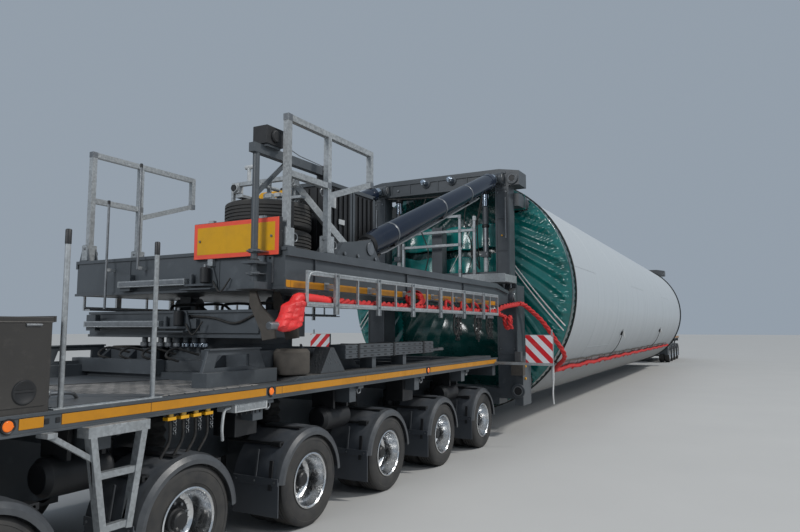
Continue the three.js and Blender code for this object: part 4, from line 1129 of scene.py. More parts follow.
def make_rail_fittings():
    """Foot channels, the rail's strut, a lamp bar across the platform and thin guard poles."""
    shape = Shape(REAR)
    top = PLATFORM_Z[1]
    for side in SIDES:
        y = side * 1.3
        wide, finish = (0.085, GREY) if side > 0 else (0.045, ZINC)
        for x in (-0.78, -0.17):
            shape.box(about(x, 0.07), about(y, 0.055), (top + 0.001, top + 0.018))
            for dx in (-0.045, 0.045):
                shape.plate("x", [(y - wide, top), (y + wide, top), (y + 0.034, top + 0.18),
                                  (y - 0.034, top + 0.18)], about(x + dx, 0.006), finish)
            shape.pin("x", (y, top + 0.14), about(x, 0.065), 0.012, sides=10)
            shape.ring((x + 0.08, y + side * 0.03, top + 0.1), (0, 1, 0), 0.036, 0.007, sides=18)
        for x, z in ((-0.17, 3.09), (-0.78, 3.585), (0.61, 3.25)):
            shape.box(about(x, 0.03), about(y, 0.03), about(z, 0.03), STEEL)
    low = Vector((0.46, -1.18, 2.5))
    high = Vector((-0.1, -0.86, 3.16))
    shape.bar(high, low, 0.07, 0.07, ZINC)
    shape.bar(low + Vector((-0.03, 0, 0.05)), low + Vector((0.2, 0, -0.02)), 0.06, 0.014, WHITE)
    shape.bar(low + Vector((0.2, 0, -0.02)), low + Vector((0.26, 0, 0.08)), 0.06, 0.014, WHITE)
    shape.bar(high, high - Vector((0, 0, 0.72)), 0.05, 0.05, ZINC)
    shape.box((-0.2, -0.15), (-0.93, -0.12), (3.2, 3.24), ZINC)
    shape.pin("z", (-0.175, -0.33), (3.24, 3.4), 0.02, WHITE)
    shape.pin("y", (-0.175, 3.39), (-0.38, -0.28), 0.022, WHITE)
    for y in (-0.9, -0.18):
        shape.box((-0.21, -0.14), about(y, 0.045), (3.13, 3.23), WHITE)
        shape.box((-0.19, -0.15), (y + 0.045, y + 0.075), (3.0, 3.2), ZINC)
        shape.pin("x", (y, 3.18), (-0.205, -0.235), 0.044, WHITE, 24)
        shape.pin("x", (y, 3.18), (-0.232, -0.242), 0.035, BLACK, 24)
    for x, y, z0, z1 in ((-0.96, 0.78, 1.93, 2.98), (-0.96, 0.33, 2.3, 3.3)):
        shape.pin("z", (x, y), (z0, z1), 0.012, sides=14)
        shape.pin("z", (x, y), (z1 - 0.01, z1 + 0.03), 0.014, BLACK, 14)
        shape.box((x, PLATFORM_BACK), about(y, 0.015), (2.3, 2.33), ZINC)
    shape.build("rail_fittings", "rear_platform")


def make_davit_trim():
    """Winch, rope, hook and head sheave on the turning davit."""
    shape = Shape(REAR)
    x, y = DAVIT
    z, hook = JIB_Z, x + 0.97
    shape.turned([(0.03, 0), (0.042, 0), (0.042, 0.02), (0.03, 0.02)], (x, y, 2.302), (0, 0, 1), BLACK, 20)
    shape.box((x + 0.04, x + 0.26), about(y, 0.078), (z + 0.05, z + 0.21), BLACK)
    shape.pin("y", (x + 0.15, z + 0.13), about(y, 0.1), 0.055, BLACK, 24)
    shape.pin("y", (x + 0.15, z + 0.13), (y + 0.1, y + 0.13), 0.02, sides=12)
    shape.tube([(x + 0.2, y, z + 0.15), (x + 0.6, y, z + 0.075), (x + 0.98, y, z + 0.06)], 0.005, STEEL, 6)
    shape.pin("y", (hook, z + 0.02), about(y, 0.04), 0.045, sides=20)
    shape.box((x + 0.93, x + 1.015), about(y, 0.044), (z - 0.1, z + 0.05), BLACK)
    shape.tube([(hook, y, z - 0.02), (hook, y, z - 0.16)], 0.005, STEEL, 6)
    shape.ring((hook, y, z - 0.2), (0, 1, 0), 0.035, 0.009, sides=18)
    shape.build("davit_trim", "davit")


def make_davit_seat():
    """The davit's two clamp plates, the perforated plate behind them and the dark base plate."""
    shape = Shape(REAR)
    x, y = DAVIT
    face = PLATFORM_BACK
    for z in (2.195, 2.29, 2.385):
        outline = [(face + 0.002, y - 0.07), (x - 0.03, y - 0.06), (x - 0.062, y - 0.03), (x - 0.062, y + 0.03),
                   (x - 0.03, y + 0.06), (face + 0.002, y + 0.07)]
        for part in (outline[:3] + [(x - 0.034, y), (x, y - 0.034), (x + 0.034, y), (face + 0.002, y)],
                     [(face + 0.002, y), (x + 0.034, y), (x, y + 0.034), (x - 0.034, y)] + outline[3:]):
            shape.plate("z", part, (z, z + 0.009), STEEL)
        sleeve = [(0.034, 0), (0.05, 0), (0.05, 0.03), (0.034, 0.03), (0.034, 0)]
        shape.turned(sleeve, (x, y, z - 0.01), (0, 0, 1), GREY, 24)
    shape.box((face - 0.012, face), about(y, 0.09), (2.13, 2.425), STEEL)
    for z in (2.16, 2.25, 2.34, 2.41):
        for dy in (-0.055, 0.0, 0.055):
            shape.pin("x", (y + dy, z), (face - 0.014, face - 0.008), 0.011, BLACK, 12)
    shape.box((x - 0.1, face), about(y, 0.1), (2.062, 2.069), BLACK)
    shape.build("davit_seat", "rear_platform", edge=0.002)


def make_sign():
    """The wide rear sign, bare: a yellow field in an orange border on a black board."""
    shape = Shape(REAR)
    face = PLATFORM_BACK - 0.0403
    low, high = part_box("sign_board")
    y0, y1, z0, z1 = low.y, high.y, low.z, high.z
    shape.box((face - 0.003, face), (y0 + 0.004, y1 - 0.004), (z0 + 0.004, z1 - 0.004), "sign_orange")
    shape.box((face - 0.0045, face - 0.002), (y0 + 0.045, y1 - 0.045), (z0 + 0.042, z1 - 0.042), "sign_yellow")
    middle = (z0 + z1) / 2
    shape.bolts([(face - 0.0045, y, middle) for y in (y0 + 0.08, y1 - 0.08)], (-1, 0, 0), 0.012)
    for y in (y0 + 0.2, y1 - 0.2):
        shape.box((face + 0.002, face + 0.04), about(y, 0.03), (z0 - 0.06, z1 + 0.02), ZINC)
    shape.build("sign_face", "rear_platform", edge=0.001)


def make_lamp_bars():
    """Two pull-out lamp bars on hinge brackets: one on the platform, one on the bolster."""
    for name, body, x, z, y, far in (("upper_lamp_bar", "rear_platform", PLATFORM_BACK, 2.165, -0.27, 0.62),
                                     ("lower_lamp_bar", "rear_bolster", -0.79, 1.785, 0.12, 1.2)):
        shape = Shape(REAR)
        shape.box((x - 0.09, x - 0.02), (y - 0.01, far), about(z, 0.03), ZINC)
        shape.box((x - 0.094, x - 0.088), (y, far - 0.02), about(z, 0.018), STEEL)
        shape.plate("x", [(y, z - 0.07), (y - 0.34, z - 0.07), (y - 0.34, z - 0.015), (y - 0.29, z + 0.12),
                          (y - 0.16, z + 0.12), (y, z + 0.03)], (x - 0.02, x - 0.001))
        shape.box((x - 0.11, x), (y - 0.35, y + 0.03), (z - 0.08, z - 0.065))
        shape.plate("z", [(x - 0.02, y - 0.3), (x - 0.1, y - 0.26), (x - 0.1, y - 0.02), (x - 0.02, y - 0.02)],
                    (z - 0.045, z - 0.025))
        shape.pin("z", (x - 0.064, y - 0.24), (z - 0.02, z + 0.12), 0.045, BLACK, 24)
        shape.pin("z", (x - 0.064, y - 0.24), (z + 0.12, z + 0.15), 0.016, sides=12)
        shape.pin("z", (x - 0.05, y - 0.06), (z - 0.05, z + 0.07), 0.02, GREY, 16)
        shape.box((x - 0.06, x), (far - 0.14, far), (z - 0.065, z + 0.095))
        shape.hose([(x - 0.03, y - 0.3, z), (x - 0.06, y - 0.42, z - 0.1), (x - 0.02, y - 0.5, z + 0.02)], 0.008)
        replaced = ["light_bar"] if body == "rear_platform" else []
        shape.build(name, body, replaced)


def make_power_pack():
    """The engine unit: a yellow hood on a dark frame, pipes, a filter, and pale control boxes."""
    shape = Shape(REAR)
    top = PLATFORM_Z[1]
    shape.box((0.44, 1.0), (-0.42, 0.06), (top + 0.001, 3.02), BLACK)
    shape.plate("x", [(-0.45, 3.06), (0.09, 3.06), (0.09, 3.21), (0.02, 3.27), (-0.38, 3.27), (-0.45, 3.21)],
                (0.42, 1.02), "yellow_paint")
    for i in range(7):
        shape.box((0.415, 0.43), (-0.38 + i * 0.06, -0.345 + i * 0.06), (2.55, 2.95), BLACK)
    for x in (0.5, 0.72, 0.94):
        shape.box(about(x, 0.02), (-0.457, -0.44), (3.07, 3.15), BLACK)
    shape.box((0.52, 0.7), (0.06, 0.38), (top + 0.001, 2.88), WHITE)
    shape.pin("z", (0.6, 0.2), (2.88, 3.1), 0.07, BLACK, 24)
    shape.pin("z", (0.5, -0.25), (3.27, 3.31), 0.05, BLACK, 20)
    shape.box((0.3, 0.42), (-0.3, 0.3), (2.9, 3.0), WHITE)
    for y in spaced(-0.4, 0.15, 6):
        shape.hose([(0.46, y, 2.95), (0.34, y + 0.05, 2.85), (0.38, y - 0.03, 2.62), (0.45, y, 2.46)], 0.014)
    shape.build("power_pack_dressed", "rear_platform", ["power_pack"])


def make_cabinet(name):
    """A dark steel cabinet with pressed upright ridges, a lid, hinges and, at the back, pale blank plates."""
    shape = Shape(REAR)
    low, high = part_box(name)
    x0, x1, y0, y1 = low.x - REAR_X, high.x - REAR_X, low.y, high.y
    floor, top = PLATFORM_Z[1] + 0.001, high.z - 0.015
    shape.box((x0 + 0.012, x1 - 0.012), (y0 + 0.012, y1 - 0.012), (floor, top), BLACK)
    shape.box((x0 - 0.006, x1 + 0.006), (y0 - 0.006, y1 + 0.006), (top - 0.03, top + 0.012))
    for x in (x0 + 0.014, x1 - 0.014):
        for y in (y0 + 0.014, y1 - 0.014):
            shape.box(about(x, 0.02), about(y, 0.02), (floor, top))
    for x in middles(x0, x1, 5):
        for y in (y0, y1):
            shape.box(about(x, 0.016), (y - 0.004, y + 0.02), (floor + 0.04, top - 0.05), BLACK)
    for y in middles(y0, y1, 4):
        shape.box((x0 - 0.006, x0 + 0.02), about(y, 0.022), (floor + 0.04, top - 0.05), BLACK)
    for z in (2.6, 3.0):
        shape.pin("z", (x0 - 0.012, y0 + 0.04), (z, z + 0.09), 0.011, sides=10)
    if name == "cabinet_back":
        for x, z, w, h in ((x0 + 0.05, 3.02, 0.09, 0.12), (x0 + 0.2, 2.86, 0.11, 0.055)):
            shape.box((x, x + w), (y0 - 0.012, y0), (z, z + h), WHITE)
        shape.pin("z", (x0 + 0.12, -0.7), (top, top + 0.07), 0.03, sides=18)
    shape.build(f"{name}_dressed", "rear_platform", [name])


def make_spare_tyres():
    """Two stacked spare tyres with ribbed treads, held by a cross bar, a screw and two straps."""
    shape = Shape(REAR)
    x, y, floor = -0.12, -0.55, PLATFORM_Z[1]
    profile = tyre_profile(0.43, 0.235, 0.268, 0.011, 5)
    for low in (floor + 0.004, floor + 0.279):
        shape.turned([(r, low + h) for r, h in profile], (x, y, 0), (0, 0, 1), "rubber", 72)
    shape.turned([(0.24, floor + 0.06), (0.21, floor + 0.09), (0.205, floor + 0.5), (0.24, floor + 0.53)],
                 (x, y, 0), (0, 0, 1), "hub_dark", 40)
    shape.build("spare_tyres_dressed", "rear_platform", ["spare_tyres"], edge=0, angle=30)
    clamp = Shape(REAR)
    top = floor + 0.553
    clamp.box((-0.56, 0.35), about(y, 0.04), (top, top + 0.03), ZINC)
    clamp.box((-0.16, -0.08), (-0.98, -0.12), (top + 0.03, top + 0.06), ZINC)
    clamp.pin("z", (x, y), (floor + 0.001, 3.19), 0.022, sides=18)
    for z in spaced(top + 0.07, 0.012, 16):
        clamp.turned([(0.022, 0), (0.027, 0.003), (0.022, 0.006)], (x, y, z), (0, 0, 1), STEEL, 16)
    clamp.pin("z", (x, y), (top + 0.06, top + 0.12), 0.06, ZINC, 6)
    clamp.pin("x", (y, 3.165), (-0.27, 0.03), 0.02, ZINC, 14)
    clamp.box((0.322, 0.35), about(y, 0.04), (floor + 0.001, top + 0.03), ZINC)
    for turn in (radians(200), radians(250)):
        path = [(x + radius * cos(turn), y + radius * sin(turn), z)
                for radius, z in ((0.2, top + 0.004), (0.4, top + 0.004), (0.438, top - 0.03),
                                  (0.438, floor + 0.04), (0.42, floor + 0.012))]
        for a, b in zip(path, path[1:]):
            clamp.bar(a, b, 0.05, 0.006, BLACK)
    clamp.box((-0.2, -0.04), (-0.75, -0.68), (top + 0.06, top + 0.1), WHITE)
    clamp.build("spare_tyre_clamp_dressed", "rear_platform", ["spare_tyre_clamp"])


# Wheels

def tyre_profile(radius, rim, width, groove, ribs):
    """The section of a tyre as (radius, height) points from one bead to the other and back inside."""
    half = width / 2
    wall = [(rim, 0.030), (rim + 0.012, 0.018), (rim + 0.035, 0.010), (rim + 0.038, 0.006), (rim + 0.07, 0.0),
            (radius - 0.075, 0.001), (radius - 0.05, 0.005), (radius - 0.047, 0.002), (radius - 0.03, 0.006),
            (radius - 0.011, 0.016), (radius - 0.003, 0.026)]
    tread = []
    start, land = 0.032, (width - 0.064) / (ribs + 1)
    for i in range(1, ribs + 1):
        middle = start + i * land
        crown = 0.0015 * (1 - ((middle - half) / half) ** 2)
        top = radius - 0.0015 + crown
        tread += [(top, middle - 0.006), (top - groove, middle - 0.004), (top - groove, middle + 0.004),
                  (top, middle + 0.006)]
    far = [(r, width - h) for r, h in reversed(wall)]
    inside = [(rim + 0.02, width - 0.036), (rim + 0.02, 0.036), wall[0]]
    return wall + tread + far + inside


def make_wheelset_mesh(sizes):
    """One axle with twin tyres on polished deep-dish rims, a dark disc, nuts and the hub cap on both sides."""
    shape = Shape()
    width = (sizes.outer - sizes.inner - sizes.gap) / 2
    tyre = tyre_profile(sizes.radius, sizes.rim, width, sizes.groove, 4)
    for side in SIDES:
        for near in (sizes.inner, sizes.outer - width):
            shape.turned([(r, near + h) for r, h in tyre], (0, 0, 0), (0, side, 0), "rubber", 64)
        rim, outer = sizes.rim, sizes.outer
        lip = [(rim + r, outer - depth) for r, depth in (
            (0.012, 0.02), (0.014, 0.008), (0.004, 0.004), (-0.006, 0.014), (-0.01, 0.04), (-0.022, 0.075),
            (-0.03, 0.12), (-0.04, 0.165), (-0.058, 0.182))]
        disc = [(r, outer - depth) for r, depth in (
            (0.15, 0.186), (0.098, 0.176), (0.084, 0.17), (0.084, 0.128), (0.076, 0.118), (0.066, 0.118),
            (0.062, 0.092), (0.05, 0.082), (0, 0.079))]
        finishes = ["rim_alloy"] * len(lip) + ["hub_dark"] * (len(disc) - 1)
        shape.turned(lip + disc, (0, 0, 0), (0, side, 0), finishes, 64)
        inner = sizes.inner
        shape.turned([(rim + 0.01, inner + 0.02), (rim - 0.005, inner + 0.01), (rim - 0.02, inner + 0.05),
                      (rim - 0.02, inner + 0.2), (0.12, inner + 0.21), (0.1, inner + 0.0), (0, inner + 0.0)],
                     (0, 0, 0), (0, side, 0), "hub_dark", 40)
        for angle in bearings(sizes.nuts):
            spot = Vector((0.112 * cos(angle), side * (outer - 0.181), 0.112 * sin(angle)))
            shape.rod(spot, spot + Vector((0, side * 0.028, 0)), 0.013, sides=6)
            angle += pi / sizes.nuts
            spot = Vector((0.163 * cos(angle), side * (outer - 0.190), 0.163 * sin(angle)))
            shape.turned([(0.027, 0), (0.027, 0.007), (0.023, 0.007), (0.022, 0.002), (0, 0.002)], spot,
                         (0, side, 0), ["hub_dark", "hub_dark", BLACK, BLACK], 14)
    return shape.mesh("wheelset", 32)


def make_wheels(sizes):
    mesh = make_wheelset_mesh(sizes)
    for unit, place in UNITS.items():
        for i, x in enumerate(axles(unit)):
            name = f"{unit}_wheelset_{i + 1}"
            centre = Matrix.Translation((x, 0, AXLE_Z))
            turn = Matrix.Rotation(radians(90 * i), 4, "Y")
            add_piece(f"{name}_dressed", mesh, name, [name], place @ centre @ turn)


# Bogies

def make_guards(unit, hand, sizes):
    """Moulded guards with a rolled outer lip, a raised rib, stays and a square flap behind each wheel."""
    side = HANDS[hand]
    shape = Shape(UNITS[unit])
    r, t = sizes.guard, sizes.sheet
    lip = [(y, r + rise) for y, rise in (
        (0.785, 0), (1.225, 0), (1.262, -0.012), (1.28, -0.036), (1.282, -0.062), (1.292, -0.062),
        (1.293, -0.03), (1.272, 0.002), (1.235, t), (1.15, t), (1.14, t + 0.004), (1.02, t + 0.004), (1.01, t),
        (0.785, t))]
    for x in axles(unit):
        points = [(x + radius * cos(angle), side * y, AXLE_Z + radius * sin(angle))
                  for angle in (radians(4 + 5 * k) for k in range(35)) for y, radius in lip]
        band = quads(35, len(lip))
        strips = [band[k::len(lip)] for k in range(len(lip))]
        shape.add(points, sum(strips[:3] + strips[8:], caps(len(points), len(lip))), "guard_plastic")
        # The lip's outer strips take the lighter finish: a painted highlight.
        shape.add(points, sum(strips[3:8], []), "guard_edge")
        rear = x - r - t
        shape.box(about(rear, 0.006), span(side, 0.8, 1.285), (0.185, 0.47), "guard_plastic")
        shape.box((rear - 0.014, rear - 0.004), span(side, 0.8, 1.285), (0.44, 0.5), "guard_plastic")
        # The rib on the rear panel also takes the lighter finish: painted highlight.
        shape.bar((rear - 0.002, side * 1.04, 0.5), (rear + 0.03, side * 1.04, 0.72), 0.02, 0.012, "guard_edge")
        shape.bar((rear - 0.012, side * 1.2, 0.4), (rear + 0.012, side * 1.2, 0.64), 0.035, 0.014, BLACK)
        shape.bolts([(rear - 0.016, side * y, 0.47) for y in (0.84, 1.04, 1.25)], (-1, 0, 0), 0.01)
        crown = AXLE_Z + sqrt((r + t) ** 2 - 0.01) + 0.003
        shape.bar((x - 0.1, side * 0.8, crown), (x - 0.1, side * 1.24, crown), 0.09, 0.008, BLACK)
        for dx in (-0.33, 0.33):
            z = AXLE_Z + sqrt(max(0.0, (r + t) ** 2 - dx ** 2))
            shape.pin("y", (x + dx, z + 0.015), (side * 0.6, side * 1.2), 0.014, BLACK, 12)
            shape.box(about(x + dx, 0.03), span(side, 1.1, 1.2), (z - 0.005, z + 0.035), BLACK)
    replaced = [f"rear_mudguards_{hand}"] if unit == "rear" else []
    shape.build(f"{unit}_guards_{hand}", f"{unit}_bogie", replaced, edge=0.002, angle=30)


def make_side_members(unit, sizes):
    """Rolled side members: deck lip, yellow tape broken by round lamps, lashing eyes and the bottom lip."""
    shape = Shape(UNITS[unit])
    back, front = DECK_ENDS[unit]
    top, half = DECK_TOP, DECK_HALF
    stripe = (1.2, 1.2 + sizes.stripe)
    lamps = [x for x in (-3.07, -0.93, 2.03) if back < x < front]
    breaks = sorted([about(x, 0.06) for x in lamps]
                    + [(-2.87, -2.764), (back - 1, back + 0.054), (front - 0.064, front)])
    for side in SIDES:
        for zs in ((top - 0.016, top + 0.004), (1.166, 1.18)):
            shape.box((back, front), span(side, half - 0.05, half + 0.008), zs)
        for (_, start), (end, _) in zip(breaks, breaks[1:]):
            if end - start > 0.05:
                shape.box((start, end), span(side, half, half + 0.004), stripe, "stripe_yellow")
        for x in (-2.852, -2.786):
            shape.box(about(x, 0.014), span(side, half, half + 0.005), (1.215, 1.245), BLACK)
        for x in lamps:
            shape.turned([(0, 0.012), (0.026, 0.011), (0.031, 0.006), (0.04, 0.012), (0.044, 0)],
                         (x, side * half, sum(stripe) / 2), (0, side, 0),
                         ["lamp_amber", "lamp_amber", BLACK, BLACK], 24)
        for x in spaced(back + 0.75, AXLE_PITCH, int((front - back) / AXLE_PITCH)):
            shape.box(about(x, 0.05), span(side, half - 0.08, half - 0.01), (1.135, 1.17))
            shape.ring((x, side * (half - 0.04), 1.12), (0, 1, 0), 0.034, 0.009, sides=18)
    make_running_gear(shape, unit)
    shape.build(f"{unit}_frame_trim", f"{unit}_bogie")


def make_running_gear(shape, unit):
    """Air bellows, brake chambers, tanks and boxes under the deck, in black finishes that are partly their own
    colour and partly painted shade.
    """
    for i, x in enumerate(axles(unit)):
        middle = x + AXLE_PITCH / 2
        for side in SIDES:
            y = side * 0.58
            rings = [(0.0, 0.82), (0.11, 0.82), (0.125, 0.86), (0.1, 0.9), (0.125, 0.94), (0.1, 0.98),
                     (0.12, 1.02), (0.1, 1.05), (0.0, 1.05)]
            shape.turned(rings, (x + 0.22, y, 0), (0, 0, 1), "hose_black", 28)
            shape.pin("z", (x - 0.2, y), (0.72, 0.95), 0.075, BLACK, 20)
            shape.hose([(x - 0.2, y, 0.95), (x - 0.3, side * 0.5, 1.05), (x - 0.1, side * 0.43, 1.1)], 0.009)
            if i == AXLES[unit] - 1:
                continue
            if i % 2 == 0:
                tank = [(0, -0.24), (0.09, -0.235), (0.12, -0.2), (0.12, 0.2), (0.09, 0.235), (0, 0.24)]
                shape.turned(tank, (middle, side * 0.98, 0.85), (1, 0, 0), BLACK, 28)
                for dx in (-0.12, 0.12):
                    shape.box(about(middle + dx, 0.015), span(side, 0.85, 1.11), (0.95, 1.16), BLACK)
            else:
                shape.box(about(middle, 0.13), span(side, 0.9, 1.13), (0.88, 1.14), BLACK)


def make_bogie_services():
    """Isolating valves with short chains, and a pale control box with its pipe, under the right side member."""
    shape = Shape(REAR)
    y = -1.25
    for x in spaced(-1.94, 0.115, 4):
        shape.pin("z", (x, y), (1.125, 1.172), 0.024, "brass_parts", 14)
        shape.box((x - 0.045, x + 0.03), (y - 0.03, y + 0.02), (1.12, 1.142), "yellow_paint")
        shape.hose([(x, y, 1.13), (x + 0.02, y + 0.02, 0.98), (x - 0.03, y + 0.05, 0.86)], 0.011)
        for k in range(4):
            shape.ring((x + 0.035, y - 0.01, 1.11 - 0.027 * k), (k % 2, 1 - k % 2, 0), 0.012, 0.004, sides=10)
    shape.box((-1.34, -0.965), (-1.285, -1.1), (1.1, 1.169), WHITE)
    shape.box((-1.32, -0.985), (-1.289, -1.28), (1.112, 1.158), ZINC)
    for i in range(6):
        shape.pin("z", (-1.29 + 0.055 * i, y), (1.07, 1.1), 0.009, BLACK, 8)
    shape.hose([(-1.36, y, 1.14), (-1.42, y, 1.12), (-1.44, y, 1.0), (-1.4, y + 0.03, 0.9)], 0.012, WHITE)
    shape.build("bogie_services", "rear_bogie")


def make_deck():
    """Anti-slip blocks behind the turntable, cover and side plates, gussets, drums, cross bars and pipe ends."""
    shape = Shape(REAR)
    top = DECK_TOP + 0.0005
    shape.box((-2.8, -0.98), (-1.2, 1.2), (top - 0.002, top + 0.006), "deck_grid")
    shape.plate("z", [(-2.8, -1.2), (-1.95, -1.2), (-2.35, -0.35), (-2.8, -0.35)], (top + 0.004, top + 0.014))
    shape.plate("z", [(-1.9, 0.2), (-0.98, -0.2), (-0.98, 0.9), (-1.9, 0.9)], (top + 0.004, top + 0.012))
    for side in SIDES:
        shape.plate("y", [(-0.6, top), (4.3, top), (4.3, top + 0.04), (-0.5, top + 0.04)], span(side, 1.02, 1.265),
                    "deck_grey")
        gusset_frame(shape, side)
        shape.plate("y", [(-0.2, 1.32), (0.0, 1.32), (-0.2, 1.6)], span(side, 1.02, 1.05))
        shape.turned([(0, 0), (0.15, 0), (0.165, 0.02), (0.165, 0.2), (0.14, 0.23), (0, 0.23)],
                     (-0.42, side * 1.1, 1.33), (0, 0, 1), "wood_grey", 36)
        shape.plate("y", [(-0.16, 1.32), (0.26, 1.32), (0.06, 1.56), (0.0, 1.56)], span(side, 1.06, 1.24),
                    "deck_grey")
    for x in (1.9, 2.6, 3.3):
        shape.box(about(x, 0.04), (-1.02, 1.02), (top, top + 0.05), "deck_grey")
    for y in spaced(-1.0, 0.16, 4):
        shape.pin("x", (y, 1.35), (-2.8, -2.66), 0.032, sides=20)
        shape.hose([(-2.66, y, 1.35), (-2.5, y + 0.02, 1.34), (-2.4, y + 0.1, 1.3)], 0.013, STEEL)
    shape.build("deck_plates", "rear_bogie")


def gusset_frame(shape, side):
    """A frame plate with a window, made of its four limbs, on a plinth."""
    outer = [(-1.44, 1.39), (-0.68, 1.39), (-0.78, 1.572), (-1.375, 1.572)]
    inner = [(-1.31, 1.429), (-0.91, 1.429), (-0.91, 1.528), (-1.27, 1.528)]
    for i in range(4):
        j = (i + 1) % 4
        shape.plate("y", [outer[i], outer[j], inner[j], inner[i]], span(side, 1.0, 1.03))
    shape.box((-1.46, -0.62), span(side, 1.002, 1.1), (1.281, 1.4))
    shape.box((-1.46, -1.002), span(side, 0.94, 1.01), (1.281, 1.4))
    shape.box((-1.38, -0.77), span(side, 0.98, 1.05), (1.566, 1.582))


def make_turntable(unit):
    """The ring's bolt circle, a row of rollers, a cover plate and lips on the bolster, and cables."""
    base = Shape(UNITS[unit])
    base.bolts([(0.585 * cos(a), 0.585 * sin(a), 1.5845) for a in bearings(36)], (0, 0, 1), 0.016)
    base.turned([(0.62, 1.40), (0.66, 1.40), (0.66, 1.46), (0.62, 1.46)], (0, 0, 0), (0, 0, 1), GREY, 64)
    base.box((-1.06, -0.96), (-0.08, 1.1), (1.33, 1.46))
    base.bar((-0.93, -0.05, 1.4), (-0.6, -0.6, 1.4), 0.05, 0.1)
    for y in spaced(-0.3, 0.3, 4):
        base.hose([(-1.0, y, 1.45), (-1.1, y + 0.05, 1.5), (-0.95, y + 0.1, 1.56), (-0.76, y, 1.5)], 0.012)
    base.build(f"{unit}_turntable_trim", f"{unit}_bogie")
    top = Shape(UNITS[unit])
    for i, y in enumerate(spaced(-0.283, 0.113, 8)):
        top.pin("z", (-0.69, y), (1.6, 1.662), 0.028, GREY, 20)
        top.pin("z", (-0.69, y), (1.563, 1.61), 0.043, "chrome" if i < 3 else STEEL, 20)
    for z in (1.656, 1.886):
        top.box((-0.735, -0.71), (-1.005, 1.325), (z, z + 0.026))
    for side in SIDES:
        for y in (0.56, 0.8):
            top.pin("y", (0, 2.0), (side * y, side * (y + 0.012)), 0.05, sides=20)
    top.plate("x", [(-0.98, 1.7), (-0.98, 1.87), (-0.22, 1.87), (-0.16, 1.83), (-0.16, 1.74), (-0.22, 1.7)],
              (-0.742, -0.718))
    top.hose([(-0.75, -0.96, 1.87), (-0.76, -0.72, 1.79), (-0.76, -0.45, 1.84), (-0.75, -0.1, 1.86)], 0.011)
    for y in spaced(-0.75, 0.34, 4):
        top.hose([(-0.6, y, 1.91), (-0.5, y + 0.05, 1.97), (-0.3, y - 0.05, 1.98), (-0.12, y, 1.93)], 0.014)
    top.build(f"{unit}_bolster_trim", f"{unit}_bolster")


def make_toolbox_trim():
    """Door panels, folded edges, black recessed latches, hinges and lid seams."""
    shape = Shape(REAR)
    low, high, face = DECK_TOP + 0.01, 1.79, 1.285
    for side in SIDES:
        for xs in ((-4.47, -3.68), (-3.65, -2.87)):
            shape.box(xs, span(side, face, face + 0.006), (low + 0.03, high - 0.02), "toolbox_grey")
        for x in (-2.99, -3.82):
            latch = [(0, 0.004), (0.05, 0.004), (0.056, 0.008), (0.064, 0.008), (0.07, 0)]
            shape.turned(latch, (x, side * (face + 0.005), 1.4), (0, side, 0), BLACK, 28)
            shape.box(about(x, 0.06), span(side, face + 0.008, face + 0.014), (1.4, 1.412), "hub_dark")
        for x in (-4.3, -3.8, -3.5, -3.0):
            shape.pin("x", (side * (face + 0.006), 1.765), (x, x + 0.09), 0.009, sides=10)
    for x in (-4.51, -3.665, -2.83):
        shape.box(about(x, 0.006), (-1.292, 1.292), (1.782, 1.816), "toolbox_grey")
    for y in (-0.8, 0.0, 0.8):
        shape.box((-2.842, -2.834), about(y, 0.3), (low + 0.05, high - 0.06))
    shape.build("toolbox_trim", "rear_bogie")


def make_yard_fittings():
    """Caps of the stanchions, and the stack of slotted planks with its bright bar."""
    shape = Shape(REAR)
    for x in (-2.755, -2.105):
        shape.turned([(0, 2.33), (0.014, 2.33), (0.018, 2.324), (0.018, 2.24), (0.0155, 2.24)], (x, -1.258, 0),
                     (0, 0, 1), BLACK, 20)
    y0, y1 = -1.24, -1.04
    for z in (1.441, 1.488, 1.535):
        shape.box((0.252, 2.278), (y0 - 0.006, y0 + 0.02), (z, z + 0.04))
        for x in spaced(0.34, 0.142, 14):
            shape.box(about(x, 0.03), (y0 - 0.0075, y0), (z + 0.012, z + 0.028), BLACK)
    for x in spaced(0.4, 0.215, 9):
        shape.box(about(x, 0.05), (y0 + 0.03, y1 - 0.03), (1.578, 1.5825), BLACK)
    for x in (0.5, 1.25, 2.0):
        shape.box(about(x, 0.02), (y0 - 0.012, y1 + 0.01), (1.436, 1.586), BLACK)
    shape.pin("x", (-1.13, 1.465), (2.27, 2.8), 0.022, sides=18)
    shape.build("yard_fittings", "rear_bogie")


def make_markers():
    """Striped boards with a frame, a short pole, its clamp and a hanging strap."""
    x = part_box("marker_right")[0].x - REAR_X
    for hand, side in HANDS.items():
        shape = Shape(REAR)
        ys = span(side, 1.794, 2.206)
        for xs in ((x - 0.004, x + 0.006), (x + 0.034, x + 0.044)):
            shape.box(xs, ys, (1.224, 1.636), "marker_stripes")
        shape.box((x + 0.006, x + 0.034), span(side, 1.79, 2.21), (1.636, 1.642), ZINC)
        tip = side * 2.196
        shape.pin("z", (x + 0.06, side * 2.18), (0.96, 1.72), 0.014, ZINC, 14)
        for zs in ((1.44, 1.56), (1.18, 1.24)):
            shape.box((x + 0.02, x + 0.08), span(side, 2.16, 2.205), zs, STEEL)
        shape.hose([(x + 0.06, tip, 1.2), (x + 0.06, tip, 1.0), (x + 0.05, tip - side * 0.01, 0.78),
                    (x + 0.07, tip - side * 0.006, 0.62)], 0.011, "rope_white")
        shape.build(f"marker_{hand}_face", f"marker_{hand}", edge=0.001)


# Racks and red lines

def red_line(shape, path, pitch, strand=0.0205, spread=0.0205, twist=0.3):
    """Three strands twisted round the route."""
    route = resample(smooth(path, 10), pitch)
    for strand_index in range(3):
        points = []
        run = 0.0
        for i, (here, side, rise) in enumerate(carried(route)):
            if i:
                run += (here - route[i - 1]).length
            angle = tau * (run / twist + strand_index / 3)
            points.append(here + (side * cos(angle) + rise * sin(angle)) * spread)
        shape.tube(points, strand, "red_wrap", 7)


